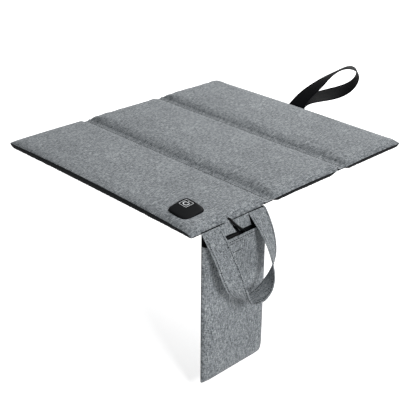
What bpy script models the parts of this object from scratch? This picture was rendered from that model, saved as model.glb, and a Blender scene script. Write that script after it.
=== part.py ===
"""Folding heated seat cushion.

Three padded panels are joined by two sewn channels. The front panel carries the heat
control, and at its right end a pocket flap for a power bank, a closing tab and a carrying
handle. The back panel carries a webbing loop. All lengths are metres, +Z is up, +X points to
the end with the pocket and +Y to the back panel. The origin is the centre of the middle
panel's underside, which is flat.
"""

import math

import bmesh
import bpy
from mathutils import Vector

# The cushion laid out flat
PANEL_LENGTH = 0.400
MIDDLE_DEPTH = 0.138
OUTER_DEPTH = 0.1325
CHANNEL_WIDTH = 0.017
SEAM_HEIGHT = 0.0072
CROWN_HEIGHT = 0.0073
COVER_WALL = 0.0008
GAP = 0.0003
CUT_OVERRUN = 0.004

# How the covers rise from the seam: the reach of each rounding and the power of its curve
FREE_ROUND = 0.018
FREE_POWER = 2.2
CHANNEL_ROUND = 0.016
CHANNEL_POWER = 1.7
UNDER_FREE_ROUND = 0.007
UNDER_FREE_POWER = 2.2
UNDER_CHANNEL_ROUND = 0.014
FREE_LINE_SHARES = (0.0, 0.03, 0.12, 0.3, 0.6, 1.0)
CHANNEL_LINE_SHARES = (0.0, 0.04, 0.14, 0.33, 0.62, 1.0)
LENGTH_SPANS = 5
DEPTH_SPANS = 3

# How the sides pull in: at the sewn channels, at the corners and along the free edges
CHANNEL_PULL = 0.004
CHANNEL_PULL_REACH = 0.014
CORNER_PULL = 0.0025
CORNER_PULL_REACH = 0.009
EDGE_PULL = 0.0012

# The layers inside a panel, as heights above the underside
FOAM_TOP = 0.0077
MAT_LOW = 0.0080
MAT_TOP = 0.0086
WIRE_DIAMETER = 0.0014
WIRE_HEIGHT = 0.0096
WADDING_LOW = 0.0106
FOAM_INSET = 0.010
WADDING_INSET = 0.010
MAT_INSET = 0.016
MAT_CORNER = 0.006
WIRE_INSET = 0.024
WIRE_RUNS = 6
WIRE_BEND_STEPS = 6
CUTOUT_DIAMETER = 0.009
CUTOUT_HEIGHT = 0.0013

# The channel between two panels: an upper and a lower strip with the ribbon lead between them
CHANNEL_END_GAP = 0.0009
RIBBON_THICKNESS = 0.0004
RIBBON_WIDTH = 0.010
RIBBON_FROM_END = 0.060
STRIP_WALL = 0.0004
FRONT_STRIP_DROP = 0.0010

# The heat control in the front panel
PATCH_FROM_END = 0.046
PATCH_FROM_FRONT = 0.0350
PATCH_SIZE = 0.038
PATCH_CORNER = 0.007
PATCH_PROUD = 0.0018
PATCH_LOW = 0.0110
PATCH_EDGE_ROUND = 0.0016
KEY_SIZE = 0.0175
KEY_CORNER = 0.004
KEY_SHIFT_X = -0.0070
KEY_SHIFT_Y = 0.0065
KEY_FLANGE = 0.0012
KEY_FLANGE_THICKNESS = 0.0010
KEY_TRAVEL = 0.0008
KEY_EDGE_ROUND = 0.0005
TRAY_SIZE = 0.036
TRAY_LOW = 0.0030
TRAY_WALL = 0.0012
TRAY_LEDGE = 0.0015
TRAY_CORNER = 0.006
BOARD_THICKNESS = 0.0010
BOARD_LOW = 0.0072
SWITCH_SIZE = 0.006
SWITCH_HEIGHT = 0.0030

# The lead's exit in the front panel's right end, and the lead
GLAND_FROM_FRONT = 0.0635
GLAND_HEIGHT = 0.0093
GLAND_RADIUS = 0.0022
GLAND_LENGTH = 0.0075
GLAND_FLANGE_RADIUS = 0.0028
GLAND_FLANGE_LENGTH = 0.0012
GLAND_PROUD = 0.0002
TURN_STEPS = 16
LEAD_DIAMETER = 0.0034
LEAD_STEP = 0.004
PLUG_WIDTH = 0.0156
PLUG_THICKNESS = 0.0076
PLUG_LENGTH = 0.022
PLUG_CORNER = 0.002
PLUG_TOP = -0.030
PLUG_CLEARANCE = 0.0007
PLUG_FROM_TAPE = 0.0015
SHELL_WIDTH = 0.012
SHELL_THICKNESS = 0.0045
SHELL_LENGTH = 0.0140
SHELL_WALL = 0.0004

# The flap at the front panel's right end
FLAP_FROM_FRONT = 0.0172
FLAP_WIDTH = 0.1137
FLAP_TOP = 0.0054
FLAP_LENGTH = 0.2285
LINING_WALL = 0.0015
LINING_CORNER = 0.002
POCKET_MOUTH = 0.0194
POCKET_WALL = 0.0010
POCKET_ROOM = 0.0094
POCKET_SIDE_REACH = 0.014
POCKET_FOOT_REACH = 0.022
POCKET_POWER = 2.0
POCKET_LINE_SHARES = (0.0, 0.06, 0.25, 0.55, 1.0)
POCKET_SPANS = 4
TAPE_WIDTH = 0.036
TAPE_LENGTH = 0.018
TAPE_WALL = 0.0010
TAPE_FROM_SIDE = 0.029
TAPE_FROM_MOUTH = 0.003
TAB_FROM_SIDE = 0.0305
TAB_WIDTH = 0.050
TAB_LENGTH = 0.0168
TAB_WALL = 0.0011
TAB_LEAN = 0.0026
TAB_SLIT_WIDTH = 0.0045
TAB_SLIT_FROM_SIDE = 0.0185
TAB_SLIT_RUN = 0.012
TAB_SLIT_TOP = 0.0035

# The carrying handle: a strap whose ends are sewn in flat and whose loop turns on edge
HANDLE_WIDTH = 0.031
HANDLE_WALL = 0.0016
HANDLE_CENTRE_FROM_FRONT = 0.0724
HANDLE_HALF_SPAN = 0.0422
HANDLE_DROP = 0.0960
HANDLE_REACH = 0.0420
HANDLE_SPREAD = 0.0061
HANDLE_SKEW = -0.0060
HANDLE_STATIONS = 36
HANDLE_DROP_POWER = 1.46
HANDLE_REACH_POWER = 3.25

# The hanging loop on the back edge
LOOP_WIDTH = 0.030
LOOP_WALL = 0.0016
LOOP_X = -0.0094
LOOP_LENGTH = 0.1107
LOOP_HALF_HEIGHT = 0.0323
LOOP_RISE = 0.0467
LOOP_ROOT_HEIGHT = 0.0082
LOOP_STRAND_OFFSET = 0.0011
LOOP_ANCHOR_LENGTH = 0.006
LOOP_ANCHOR_THICKNESS = 0.0046
LOOP_ANCHOR_EXTRA = 0.0006
LOOP_STATIONS = 40
LOOP_TIP_POWER = 2.358
LOOP_RISE_POWER = 0.85
LOOP_TURN = math.radians(46.0)

# Places worked out from the sizes above
HALF_LENGTH = PANEL_LENGTH / 2
HALF_MIDDLE = MIDDLE_DEPTH / 2
FRONT_BACK_RIM = -HALF_MIDDLE - CHANNEL_WIDTH
FRONT_RIM = FRONT_BACK_RIM - OUTER_DEPTH
BACK_FRONT_RIM = HALF_MIDDLE + CHANNEL_WIDTH
BACK_RIM = BACK_FRONT_RIM + OUTER_DEPTH
CROWN_TOP = SEAM_HEIGHT + CROWN_HEIGHT
PATCH_X = HALF_LENGTH - PATCH_FROM_END
PATCH_Y = FRONT_RIM + PATCH_FROM_FRONT
KEY_X = PATCH_X + KEY_SHIFT_X
KEY_Y = PATCH_Y + KEY_SHIFT_Y
BOARD_TOP = BOARD_LOW + BOARD_THICKNESS
SWITCH_LOW = BOARD_TOP + GAP
SWITCH_TOP = SWITCH_LOW + SWITCH_HEIGHT
KEY_LOW = SWITCH_TOP + KEY_TRAVEL + GAP
GLAND_Y = FRONT_RIM + GLAND_FROM_FRONT
FLAP_X = HALF_LENGTH + GAP
FLAP_LEFT = FRONT_RIM + FLAP_FROM_FRONT
FLAP_RIGHT = FLAP_LEFT + FLAP_WIDTH
LINING_FACE = FLAP_X + LINING_WALL
ROOT_X = LINING_FACE + GAP
MOUTH_Z = FLAP_TOP - POCKET_MOUTH
POCKET_INNER = LINING_FACE + GAP + POCKET_ROOM
HANDLE_Y = FRONT_RIM + HANDLE_CENTRE_FROM_FRONT
TAPE_RIGHT = FLAP_LEFT + TAPE_FROM_SIDE + TAPE_WIDTH
PLUG_X = LINING_FACE + PLUG_CLEARANCE + PLUG_THICKNESS / 2
PLUG_Y = TAPE_RIGHT + PLUG_FROM_TAPE + PLUG_WIDTH / 2

# The lead's route, chosen by hand: out of the gland, down over the tab and into the pocket
LEAD_ROUTE = (
    (0.2006, -0.1550, 0.0093),
    (0.2046, -0.1550, 0.0093),
    (0.2082, -0.1530, 0.0055),
    (0.2085, -0.1465, -0.0010),
    (0.2080, -0.1390, -0.0080),
    (0.2070, -0.1310, -0.0150),
    (0.2064, -0.1275, -0.0220),
    (0.2063, -0.1270, -0.0297),
)

PANELS = {
    "front": {"low": FRONT_RIM, "high": FRONT_BACK_RIM, "low_free": True, "high_free": False},
    "middle": {"low": -HALF_MIDDLE, "high": HALF_MIDDLE, "low_free": False, "high_free": False},
    "back": {"low": BACK_FRONT_RIM, "high": BACK_RIM, "low_free": False, "high_free": True},
}


def clear_scene():
    """Removes what the new file holds, and makes the two collections."""
    for old in list(bpy.data.objects):
        bpy.data.objects.remove(old, do_unlink=True)
    groups = []
    for name in ("heated_seat_cushion", "cutters"):
        group = bpy.data.collections.new(name)
        bpy.context.scene.collection.children.link(group)
        groups.append(group)
    return groups


parts, cutters = clear_scene()


def material(name, colour, roughness, metallic=0.0):
    """A plain Principled material for a sub-part."""
    made = bpy.data.materials.new(name)
    made.use_nodes = True
    shader = made.node_tree.nodes["Principled BSDF"]
    shader.inputs["Base Color"].default_value = (*colour, 1.0)
    shader.inputs["Roughness"].default_value = roughness
    shader.inputs["Metallic"].default_value = metallic
    made.diffuse_color = (*colour, 1.0)
    return made


GREY_CLOTH = material("grey_melange_cloth", (0.26, 0.28, 0.29), 0.9)
BLACK_CLOTH = material("black_cloth", (0.012, 0.013, 0.015), 0.9)
BLACK_WEBBING = material("black_webbing", (0.010, 0.010, 0.012), 0.8)
BLACK_SILICONE = material("black_silicone", (0.008, 0.010, 0.011), 0.5)
BLACK_PLASTIC = material("black_plastic", (0.010, 0.010, 0.011), 0.6)
WHITE_FIBRE = material("white_fibre", (0.75, 0.75, 0.72), 0.95)
CREAM_FOAM = material("cream_foam", (0.70, 0.66, 0.50), 0.95)
CARRIER_FELT = material("carrier_felt", (0.55, 0.56, 0.58), 0.95)
CARBON_WIRE = material("carbon_wire", (0.02, 0.02, 0.02), 0.5)
COPPER_RIBBON = material("copper_ribbon", (0.50, 0.20, 0.09), 0.4, 1.0)
GREEN_BOARD = material("green_board", (0.02, 0.12, 0.05), 0.5)
PLATED_STEEL = material("plated_steel", (0.55, 0.55, 0.56), 0.3, 1.0)


def link(name, mesh, finish, group=None):
    """An object for a mesh, in the parts collection unless another is named."""
    made = bpy.data.objects.new(name, mesh)
    (group or parts).objects.link(made)
    if finish:
        made.data.materials.append(finish)
    return made


def from_bmesh(name, shape, finish, group=None):
    """Turns a finished bmesh into an object with its faces outward."""
    bmesh.ops.recalc_face_normals(shape, faces=shape.faces[:])
    mesh = bpy.data.meshes.new(name)
    shape.to_mesh(mesh)
    shape.free()
    return link(name, mesh, finish, group)


def bake(thing):
    """Puts an object's modifiers into its mesh."""
    graph = bpy.context.evaluated_depsgraph_get()
    mesh = bpy.data.meshes.new_from_object(thing.evaluated_get(graph))
    thing.modifiers.clear()
    thing.data = mesh
    return thing


def cutter(thing):
    """Marks an object as a cutter."""
    thing.hide_render = True
    thing.display_type = "WIRE"
    return thing


def cut(thing, *tools):
    """Cuts an object with each of the tools."""
    for tool in tools:
        step = thing.modifiers.new("cut_" + tool.name, "BOOLEAN")
        step.operation = "DIFFERENCE"
        step.solver = "EXACT"
        step.object = tool
    bake(thing)
    return thing


def prism(name, low, high, corner, finish, upright="z", edge_round=0.0, group=None):
    """A box with rounded upright edges, and a rounded upper rim where edge_round is given."""
    shape = bmesh.new()
    bmesh.ops.create_cube(shape, size=1.0)
    low, high = Vector(low), Vector(high)
    middle, size = (low + high) / 2, high - low
    for v in shape.verts:
        v.co = Vector(middle[k] + v.co[k] * size[k] for k in range(3))
    k = "xyz".index(upright)
    if corner:
        upright_edges = [e for e in shape.edges if abs(e.verts[0].co[k] - e.verts[1].co[k]) > size[k] / 2]
        bmesh.ops.bevel(
            shape, geom=upright_edges, offset=corner, offset_type="OFFSET", segments=4, profile=0.5,
            affect="EDGES",
        )
    if edge_round:
        rim = [e for e in shape.edges if min(v.co[k] for v in e.verts) > high[k] - edge_round / 2]
        bmesh.ops.bevel(
            shape, geom=rim, offset=edge_round, offset_type="OFFSET", segments=3, profile=0.5,
            affect="EDGES",
        )
    return from_bmesh(name, shape, finish, group)


def surface(us, vs, place, deep=None):
    """A grid mapped to space by place(u, v), or with deep a closed block between the two."""
    shape = bmesh.new()
    bmesh.ops.create_grid(shape, x_segments=len(us) - 1, y_segments=len(vs) - 1, size=1.0)
    if deep:
        made = bmesh.ops.extrude_face_region(shape, geom=shape.faces[:], use_keep_orig=True)
        for item in made["geom"]:
            if isinstance(item, bmesh.types.BMVert):
                item.co.z = -1.0
    for v in shape.verts:
        u = us[round((v.co.x + 1.0) / 2.0 * (len(us) - 1))]
        w = vs[round((v.co.y + 1.0) / 2.0 * (len(vs) - 1))]
        v.co = (deep if v.co.z < -0.5 else place)(u, w)
    return shape


def skin(name, shape, wall, offset, finish):
    """A closed wall made from an open surface; offset -1 grows it against the normals."""
    mesh = bpy.data.meshes.new(name)
    shape.to_mesh(mesh)
    shape.free()
    made = link(name, mesh, finish)
    grow = made.modifiers.new("wall", "SOLIDIFY")
    grow.thickness = wall
    grow.offset = offset
    grow.use_even_offset = False
    return bake(made)


def lines(length, low_lines, high_lines, spans):
    """Grid lines along a side: close together at both rims and even in between."""
    high = [length - d for d in reversed(high_lines)]
    step = (high[0] - low_lines[-1]) / spans
    return list(low_lines) + [low_lines[-1] + step * i for i in range(1, spans)] + high


def round_rise(distance, reach, power):
    """How far a rounded edge has risen, from 0 at the rim to 1 at its reach."""
    left = max(0.0, 1.0 - distance / reach)
    return (1.0 - left**power) ** (1.0 / power)


def top_beside_channel(distance):
    """How far the plump upper cover has risen beside a sewn channel."""
    return round_rise(distance, CHANNEL_ROUND, CHANNEL_POWER)


def under_beside_channel(distance):
    """How far the lower cover has gone down beside a sewn channel, on a soft slope."""
    return math.sin(math.pi / 2 * min(1.0, distance / UNDER_CHANNEL_ROUND))


def panel_depth(panel):
    return panel["high"] - panel["low"]


def panel_rise(panel, u, v, free, free_power, beside_channel):
    """The cover's rise at u along the length and v across the depth, from 0 to 1."""
    rise = round_rise(min(u, PANEL_LENGTH - u), free, free_power)
    for distance, is_free in ((v, panel["low_free"]), (panel_depth(panel) - v, panel["high_free"])):
        rise *= round_rise(distance, free, free_power) if is_free else beside_channel(distance)
    return rise


def panel_plan(panel, u, v):
    """The place in plan of a point of the cover, with the sides pulled in."""
    along = u / HALF_LENGTH - 1.0
    pull = 0.0
    for distance, is_free in ((v, panel["low_free"]), (panel_depth(panel) - v, panel["high_free"])):
        depth, reach = (CORNER_PULL, CORNER_PULL_REACH) if is_free else (CHANNEL_PULL, CHANNEL_PULL_REACH)
        pull += depth * (1.0 - round_rise(distance, reach, 2.0))
    share = v / panel_depth(panel)
    y = panel["low"] + v
    edge = EDGE_PULL * (1.0 - along**2)
    edge += CORNER_PULL * (1.0 - round_rise(min(u, PANEL_LENGTH - u), CORNER_PULL_REACH, 2.0))
    if panel["low_free"]:
        y += edge * (1.0 - share) ** 8
    if panel["high_free"]:
        y -= edge * share**8
    return along * (HALF_LENGTH - pull), y


def top_height(panel, u, v):
    return CROWN_HEIGHT * panel_rise(panel, u, v, FREE_ROUND, FREE_POWER, top_beside_channel)


def under_depth(panel, u, v):
    rise = panel_rise(panel, u, v, UNDER_FREE_ROUND, UNDER_FREE_POWER, under_beside_channel)
    return SEAM_HEIGHT * rise


def rim_lines(is_free, free, channel):
    if is_free:
        return [free * s for s in FREE_LINE_SHARES]
    return [channel * s for s in CHANNEL_LINE_SHARES]


def cover_lines(panel, free, channel):
    """The grid lines of a cover, along the length and across the depth."""
    ends = rim_lines(True, free, channel)
    us = lines(PANEL_LENGTH, ends, ends, LENGTH_SPANS)
    low = rim_lines(panel["low_free"], free, channel)
    high = rim_lines(panel["high_free"], free, channel)
    return us, lines(panel_depth(panel), low, high, DEPTH_SPANS)


def top_cover(name, panel):
    """The grey upper cover: a crowned shell that stops just above the seam."""
    us, vs = cover_lines(panel, FREE_ROUND, CHANNEL_ROUND)
    rim = SEAM_HEIGHT + GAP / 2

    def place(u, v):
        return (*panel_plan(panel, u, v), max(rim, SEAM_HEIGHT + top_height(panel, u, v)))

    made = skin(name + "_top_cover", surface(us, vs, place), COVER_WALL, -1.0, GREY_CLOTH)
    for v in made.data.vertices:
        v.co.z = max(v.co.z, rim)
    return made


def bottom_cover(name, panel):
    """The black lower cover: rounded at the sides and dead flat where it rests."""
    us, vs = cover_lines(panel, UNDER_FREE_ROUND, UNDER_CHANNEL_ROUND)
    rim = SEAM_HEIGHT - GAP / 2

    def place(u, v):
        return (*panel_plan(panel, u, v), min(rim, SEAM_HEIGHT - under_depth(panel, u, v)))

    made = skin(name + "_bottom_cover", surface(us, vs, place), COVER_WALL, 1.0, BLACK_CLOTH)
    for v in made.data.vertices:
        v.co.z = min(v.co.z, rim)
    return made


def inset_lines(length, inset, spans):
    return [inset + (length - 2 * inset) * i / spans for i in range(spans + 1)]


def wadding(name, panel):
    """The soft fibre layer under the top cover, flat below and crowned above."""
    reach = FREE_ROUND
    depth = panel_depth(panel)
    us = [WADDING_INSET, *inset_lines(PANEL_LENGTH, reach, LENGTH_SPANS), PANEL_LENGTH - WADDING_INSET]
    vs = [WADDING_INSET, *inset_lines(depth, reach, DEPTH_SPANS), depth - WADDING_INSET]
    drop = COVER_WALL + 2 * GAP

    def upper(u, v):
        return (*panel_plan(panel, u, v), SEAM_HEIGHT + top_height(panel, u, v) - drop)

    def lower(u, v):
        return (*panel_plan(panel, u, v), WADDING_LOW)

    return from_bmesh(name + "_wadding", surface(us, vs, upper, lower), WHITE_FIBRE)


def foam_core(name, panel):
    """The foam board: it follows the lower cover and is flat above."""
    reach = UNDER_CHANNEL_ROUND
    depth = panel_depth(panel)
    us = [FOAM_INSET, *inset_lines(PANEL_LENGTH, reach, LENGTH_SPANS), PANEL_LENGTH - FOAM_INSET]
    vs = [FOAM_INSET, *inset_lines(depth, reach, DEPTH_SPANS), depth - FOAM_INSET]
    lift = COVER_WALL + GAP + GAP / 2

    def upper(u, v):
        return (*panel_plan(panel, u, v), FOAM_TOP)

    def lower(u, v):
        return (*panel_plan(panel, u, v), SEAM_HEIGHT - under_depth(panel, u, v) + lift)

    return from_bmesh(name + "_foam_core", surface(us, vs, upper, lower), CREAM_FOAM)


def heated_end(name):
    """Where the heated field stops on the right: short of the control in the front panel."""
    if name == "front":
        return PATCH_X - PATCH_SIZE / 2 - MAT_INSET / 2
    return HALF_LENGTH - WIRE_INSET


def heating_wire(name, panel):
    """The heating wire, laid in runs along the length and stitched to its carrier."""
    left = -HALF_LENGTH + WIRE_INSET
    right = heated_end(name)
    low = panel["low"] + WIRE_INSET
    pitch = (panel_depth(panel) - 2 * WIRE_INSET) / (WIRE_RUNS - 1)
    bend = pitch / 2
    route = [(left, low)]
    for run in range(WIRE_RUNS - 1):
        y = low + pitch * run
        end, side = (right, 1.0) if run % 2 == 0 else (left, -1.0)
        for step in range(WIRE_BEND_STEPS + 1):
            angle = -math.pi / 2 + math.pi * step / WIRE_BEND_STEPS
            x = end - side * bend * (1.0 - math.cos(angle))
            route.append((x, y + bend + bend * math.sin(angle)))
    route.append((left if WIRE_RUNS % 2 == 0 else right, low + pitch * (WIRE_RUNS - 1)))
    return tube(name + "_heating_wire", [(x, y, WIRE_HEIGHT) for x, y in route], WIRE_DIAMETER, CARBON_WIRE)


def tube(name, points, diameter, finish):
    """A tube along points, with closed ends, made a mesh."""
    curve = bpy.data.curves.new(name, "CURVE")
    curve.dimensions = "3D"
    curve.bevel_depth = diameter / 2
    curve.bevel_resolution = 2
    curve.use_fill_caps = True
    spline = curve.splines.new("POLY")
    spline.points.add(len(points) - 1)
    for target, point in zip(spline.points, points):
        target.co = (*point, 1.0)
    made = link(name, curve, finish)
    mesh = bpy.data.meshes.new_from_object(made.evaluated_get(bpy.context.evaluated_depsgraph_get()))
    bpy.data.objects.remove(made, do_unlink=True)
    shape = bmesh.new()
    shape.from_mesh(mesh)
    bmesh.ops.remove_doubles(shape, verts=shape.verts[:], dist=diameter / 1000)
    return from_bmesh(name, shape, finish)


def smooth_route(route, step):
    """Points at even steps along a smooth curve through the route's own points."""
    ends = [Vector(p) for p in route]
    ends = [ends[0] * 2 - ends[1], *ends, ends[-1] * 2 - ends[-2]]
    fine = []
    for a, b, c, d in zip(ends, ends[1:], ends[2:], ends[3:]):
        count = 24
        for i in range(count):
            t = i / count
            square, cube = 2 * a - 5 * b + 4 * c - d, 3 * b - a - 3 * c + d
            fine.append(0.5 * (2 * b + (c - a) * t + square * t**2 + cube * t**3))
    fine.append(ends[-2])
    total = sum((q - p).length for p, q in zip(fine, fine[1:]))
    count = max(2, round(total / step))
    places = [fine[0]]
    passed, want = 0.0, total / count
    for p, q in zip(fine, fine[1:]):
        passed += (q - p).length
        if passed >= want and len(places) < count:
            places.append(q)
            want += total / count
    places.append(fine[-1])
    return places


def turned(name, profile, centre, finish, group=None):
    """A turned piece about an axis along X; the profile is (x, radius) from end to end."""
    shape = bmesh.new()
    verts = [shape.verts.new((x, centre[0], centre[1] + radius)) for x, radius in profile]
    edges = [shape.edges.new(pair) for pair in zip(verts, verts[1:])]
    bmesh.ops.spin(
        shape, geom=verts + edges, cent=(0.0, *centre), axis=(1.0, 0.0, 0.0), angle=2 * math.pi,
        steps=TURN_STEPS, use_merge=True,
    )
    bmesh.ops.remove_doubles(shape, verts=shape.verts[:], dist=GAP / 1000)
    return from_bmesh(name, shape, finish, group)


def build_panels():
    """The covers, fibre, foam, carrier mat and wire of each panel."""
    made = {}
    for name, panel in PANELS.items():
        made[name + "_top"] = top_cover(name, panel)
        made[name + "_wadding"] = wadding(name, panel)
        heating_wire(name, panel)
        made[name + "_mat"] = prism(
            name + "_carrier_mat",
            (-HALF_LENGTH + MAT_INSET, panel["low"] + MAT_INSET, MAT_LOW),
            (HALF_LENGTH - MAT_INSET, panel["high"] - MAT_INSET, MAT_TOP),
            MAT_CORNER, CARRIER_FELT,
        )
        made[name + "_foam"] = foam_core(name, panel)
        bottom_cover(name, panel)
    return made


def build_thermal_cutout():
    """The round thermal cutout between two runs of the middle panel's wire."""
    pitch = (MIDDLE_DEPTH - 2 * WIRE_INSET) / (WIRE_RUNS - 1)
    y = -HALF_MIDDLE + WIRE_INSET + pitch * (WIRE_RUNS // 2 - 0.5)
    half = CUTOUT_DIAMETER / 2
    low = MAT_TOP + GAP
    prism(
        "thermal_cutout", (-half, y - half, low), (half, y + half, low + CUTOUT_HEIGHT),
        CUTOUT_DIAMETER / 3, BLACK_PLASTIC,
    )


def build_channels():
    """The two sewn channels: an upper strip, a lower strip and the ribbon lead between them."""
    half = HALF_LENGTH - CHANNEL_PULL
    ribbon = RIBBON_THICKNESS / 2
    for name, low, drop in (("front", FRONT_BACK_RIM, FRONT_STRIP_DROP), ("back", HALF_MIDDLE, 0.0)):
        # the front strips lie below the seams they fold up at, so that they clear the plump covers
        y = (low + CHANNEL_END_GAP, low + CHANNEL_WIDTH - CHANNEL_END_GAP)
        middle = SEAM_HEIGHT - drop
        z = middle + ribbon + GAP
        prism(name + "_channel_top", (-half, y[0], z), (half, y[1], z + STRIP_WALL), 0.0, GREY_CLOTH)
        z = middle - ribbon - GAP
        prism(name + "_channel_bottom", (-half, y[0], z - STRIP_WALL), (half, y[1], z), 0.0, BLACK_CLOTH)
        x = HALF_LENGTH - RIBBON_FROM_END
        prism(
            name + "_ribbon_lead",
            (x - RIBBON_WIDTH / 2, y[0], middle - ribbon),
            (x + RIBBON_WIDTH / 2, y[1], middle + ribbon),
            0.0, COPPER_RIBBON,
        )


def square(name, x, y, size, low, high, corner, finish, edge_round=0.0, group=None):
    half = size / 2
    return prism(
        name, (x - half, y - half, low), (x + half, y + half, high), corner, finish, "z", edge_round, group
    )


def build_control(made):
    """The heat control: a silicone patch with its key, over a tray with the board and switch."""
    top = CROWN_TOP + PATCH_PROUD
    patch = square("control_patch", PATCH_X, PATCH_Y, PATCH_SIZE, PATCH_LOW, top, PATCH_CORNER,
                   BLACK_SILICONE, PATCH_EDGE_ROUND)
    flange_top = KEY_LOW + KEY_FLANGE_THICKNESS
    opening = cutter(square("key_opening", KEY_X, KEY_Y, KEY_SIZE + 2 * GAP, PATCH_LOW, top + CUT_OVERRUN,
                            KEY_CORNER + GAP, None, 0.0, cutters))
    recess = cutter(square("key_recess", KEY_X, KEY_Y, KEY_SIZE + 2 * KEY_FLANGE + 2 * GAP,
                           PATCH_LOW - CUT_OVERRUN, flange_top + GAP, KEY_CORNER, None, 0.0, cutters))
    cut(patch, opening, recess)
    key = square("power_button", KEY_X, KEY_Y, KEY_SIZE, KEY_LOW + KEY_FLANGE_THICKNESS / 2, top,
                 KEY_CORNER, BLACK_SILICONE, KEY_EDGE_ROUND)
    flange = cutter(square("key_flange", KEY_X, KEY_Y, KEY_SIZE + 2 * KEY_FLANGE, KEY_LOW, flange_top,
                           KEY_CORNER, None, 0.0, cutters))
    join = key.modifiers.new("flange", "BOOLEAN")
    join.operation = "UNION"
    join.solver = "EXACT"
    join.object = flange
    bake(key)

    tray_top = PATCH_LOW - GAP
    tray = square(
        "control_tray", PATCH_X, PATCH_Y, TRAY_SIZE, TRAY_LOW, tray_top, TRAY_CORNER, BLACK_PLASTIC
    )
    board_size = TRAY_SIZE - 2 * TRAY_WALL - 2 * GAP
    well = cutter(square("tray_well", PATCH_X, PATCH_Y, board_size + 2 * GAP, BOARD_LOW - GAP,
                         tray_top + CUT_OVERRUN, TRAY_CORNER - TRAY_WALL, None, 0.0, cutters))
    sump = cutter(square("tray_sump", PATCH_X, PATCH_Y, board_size - 2 * TRAY_LEDGE, TRAY_LOW + TRAY_WALL,
                         tray_top + CUT_OVERRUN, TRAY_CORNER - TRAY_WALL - TRAY_LEDGE, None, 0.0, cutters))
    cut(tray, well, sump)
    square("control_board", PATCH_X, PATCH_Y, board_size, BOARD_LOW, BOARD_TOP, TRAY_CORNER - TRAY_WALL,
           GREEN_BOARD)
    square("tact_switch", KEY_X, KEY_Y, SWITCH_SIZE, SWITCH_LOW, SWITCH_TOP, 0.0, BLACK_PLASTIC)

    hole = cutter(square("patch_hole", PATCH_X, PATCH_Y, PATCH_SIZE + 2 * GAP, PATCH_LOW - GAP,
                         top + CUT_OVERRUN, PATCH_CORNER + GAP, None, 0.0, cutters))
    pocket = cutter(square("tray_hole", PATCH_X, PATCH_Y, TRAY_SIZE + 2 * GAP, TRAY_LOW - GAP,
                           top + CUT_OVERRUN, TRAY_CORNER + GAP, None, 0.0, cutters))
    cut(made["front_wadding"], hole, pocket)
    cut(made["front_mat"], pocket)
    cut(made["front_foam"], pocket)
    return hole


def build_gland(made, patch_hole):
    """The lead's grommet in the right end, and the two holes of the front panel's cover."""
    end = HALF_LENGTH + GLAND_PROUD
    start = end - GLAND_LENGTH
    flange = start - GLAND_FLANGE_LENGTH
    centre = (GLAND_Y, GLAND_HEIGHT)
    profile = (
        (flange, 0.0), (flange, GLAND_FLANGE_RADIUS), (start, GLAND_FLANGE_RADIUS), (start, GLAND_RADIUS),
        (end, GLAND_RADIUS), (end, 0.0),
    )
    turned("lead_gland", profile, centre, BLACK_PLASTIC)
    radius = GLAND_RADIUS + GAP
    bore = cutter(turned("gland_hole", ((start, 0.0), (start, radius), (end + CUT_OVERRUN, radius),
                                        (end + CUT_OVERRUN, 0.0)), centre, None, cutters))
    cut(made["front_top"], patch_hole, bore)


def build_lead():
    """The lead and its plug, which lies in the pocket."""
    tube("usb_lead", smooth_route(LEAD_ROUTE, LEAD_STEP), LEAD_DIAMETER, BLACK_PLASTIC)
    low = PLUG_TOP - PLUG_LENGTH
    prism(
        "usb_plug", (PLUG_X - PLUG_THICKNESS / 2, PLUG_Y - PLUG_WIDTH / 2, low),
        (PLUG_X + PLUG_THICKNESS / 2, PLUG_Y + PLUG_WIDTH / 2, PLUG_TOP), PLUG_CORNER, BLACK_PLASTIC,
    )
    high = low - GAP
    foot = high - SHELL_LENGTH
    half_x, half_y = SHELL_THICKNESS / 2, SHELL_WIDTH / 2
    shell = prism("usb_shell", (PLUG_X - half_x, PLUG_Y - half_y, foot),
                  (PLUG_X + half_x, PLUG_Y + half_y, high), 0.0, PLATED_STEEL)
    half_x, half_y = half_x - SHELL_WALL, half_y - SHELL_WALL
    mouth = cutter(prism("shell_mouth", (PLUG_X - half_x, PLUG_Y - half_y, foot - CUT_OVERRUN),
                         (PLUG_X + half_x, PLUG_Y + half_y, high - SHELL_WALL), 0.0, None, "z", 0.0,
                         cutters))
    cut(shell, mouth)


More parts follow.
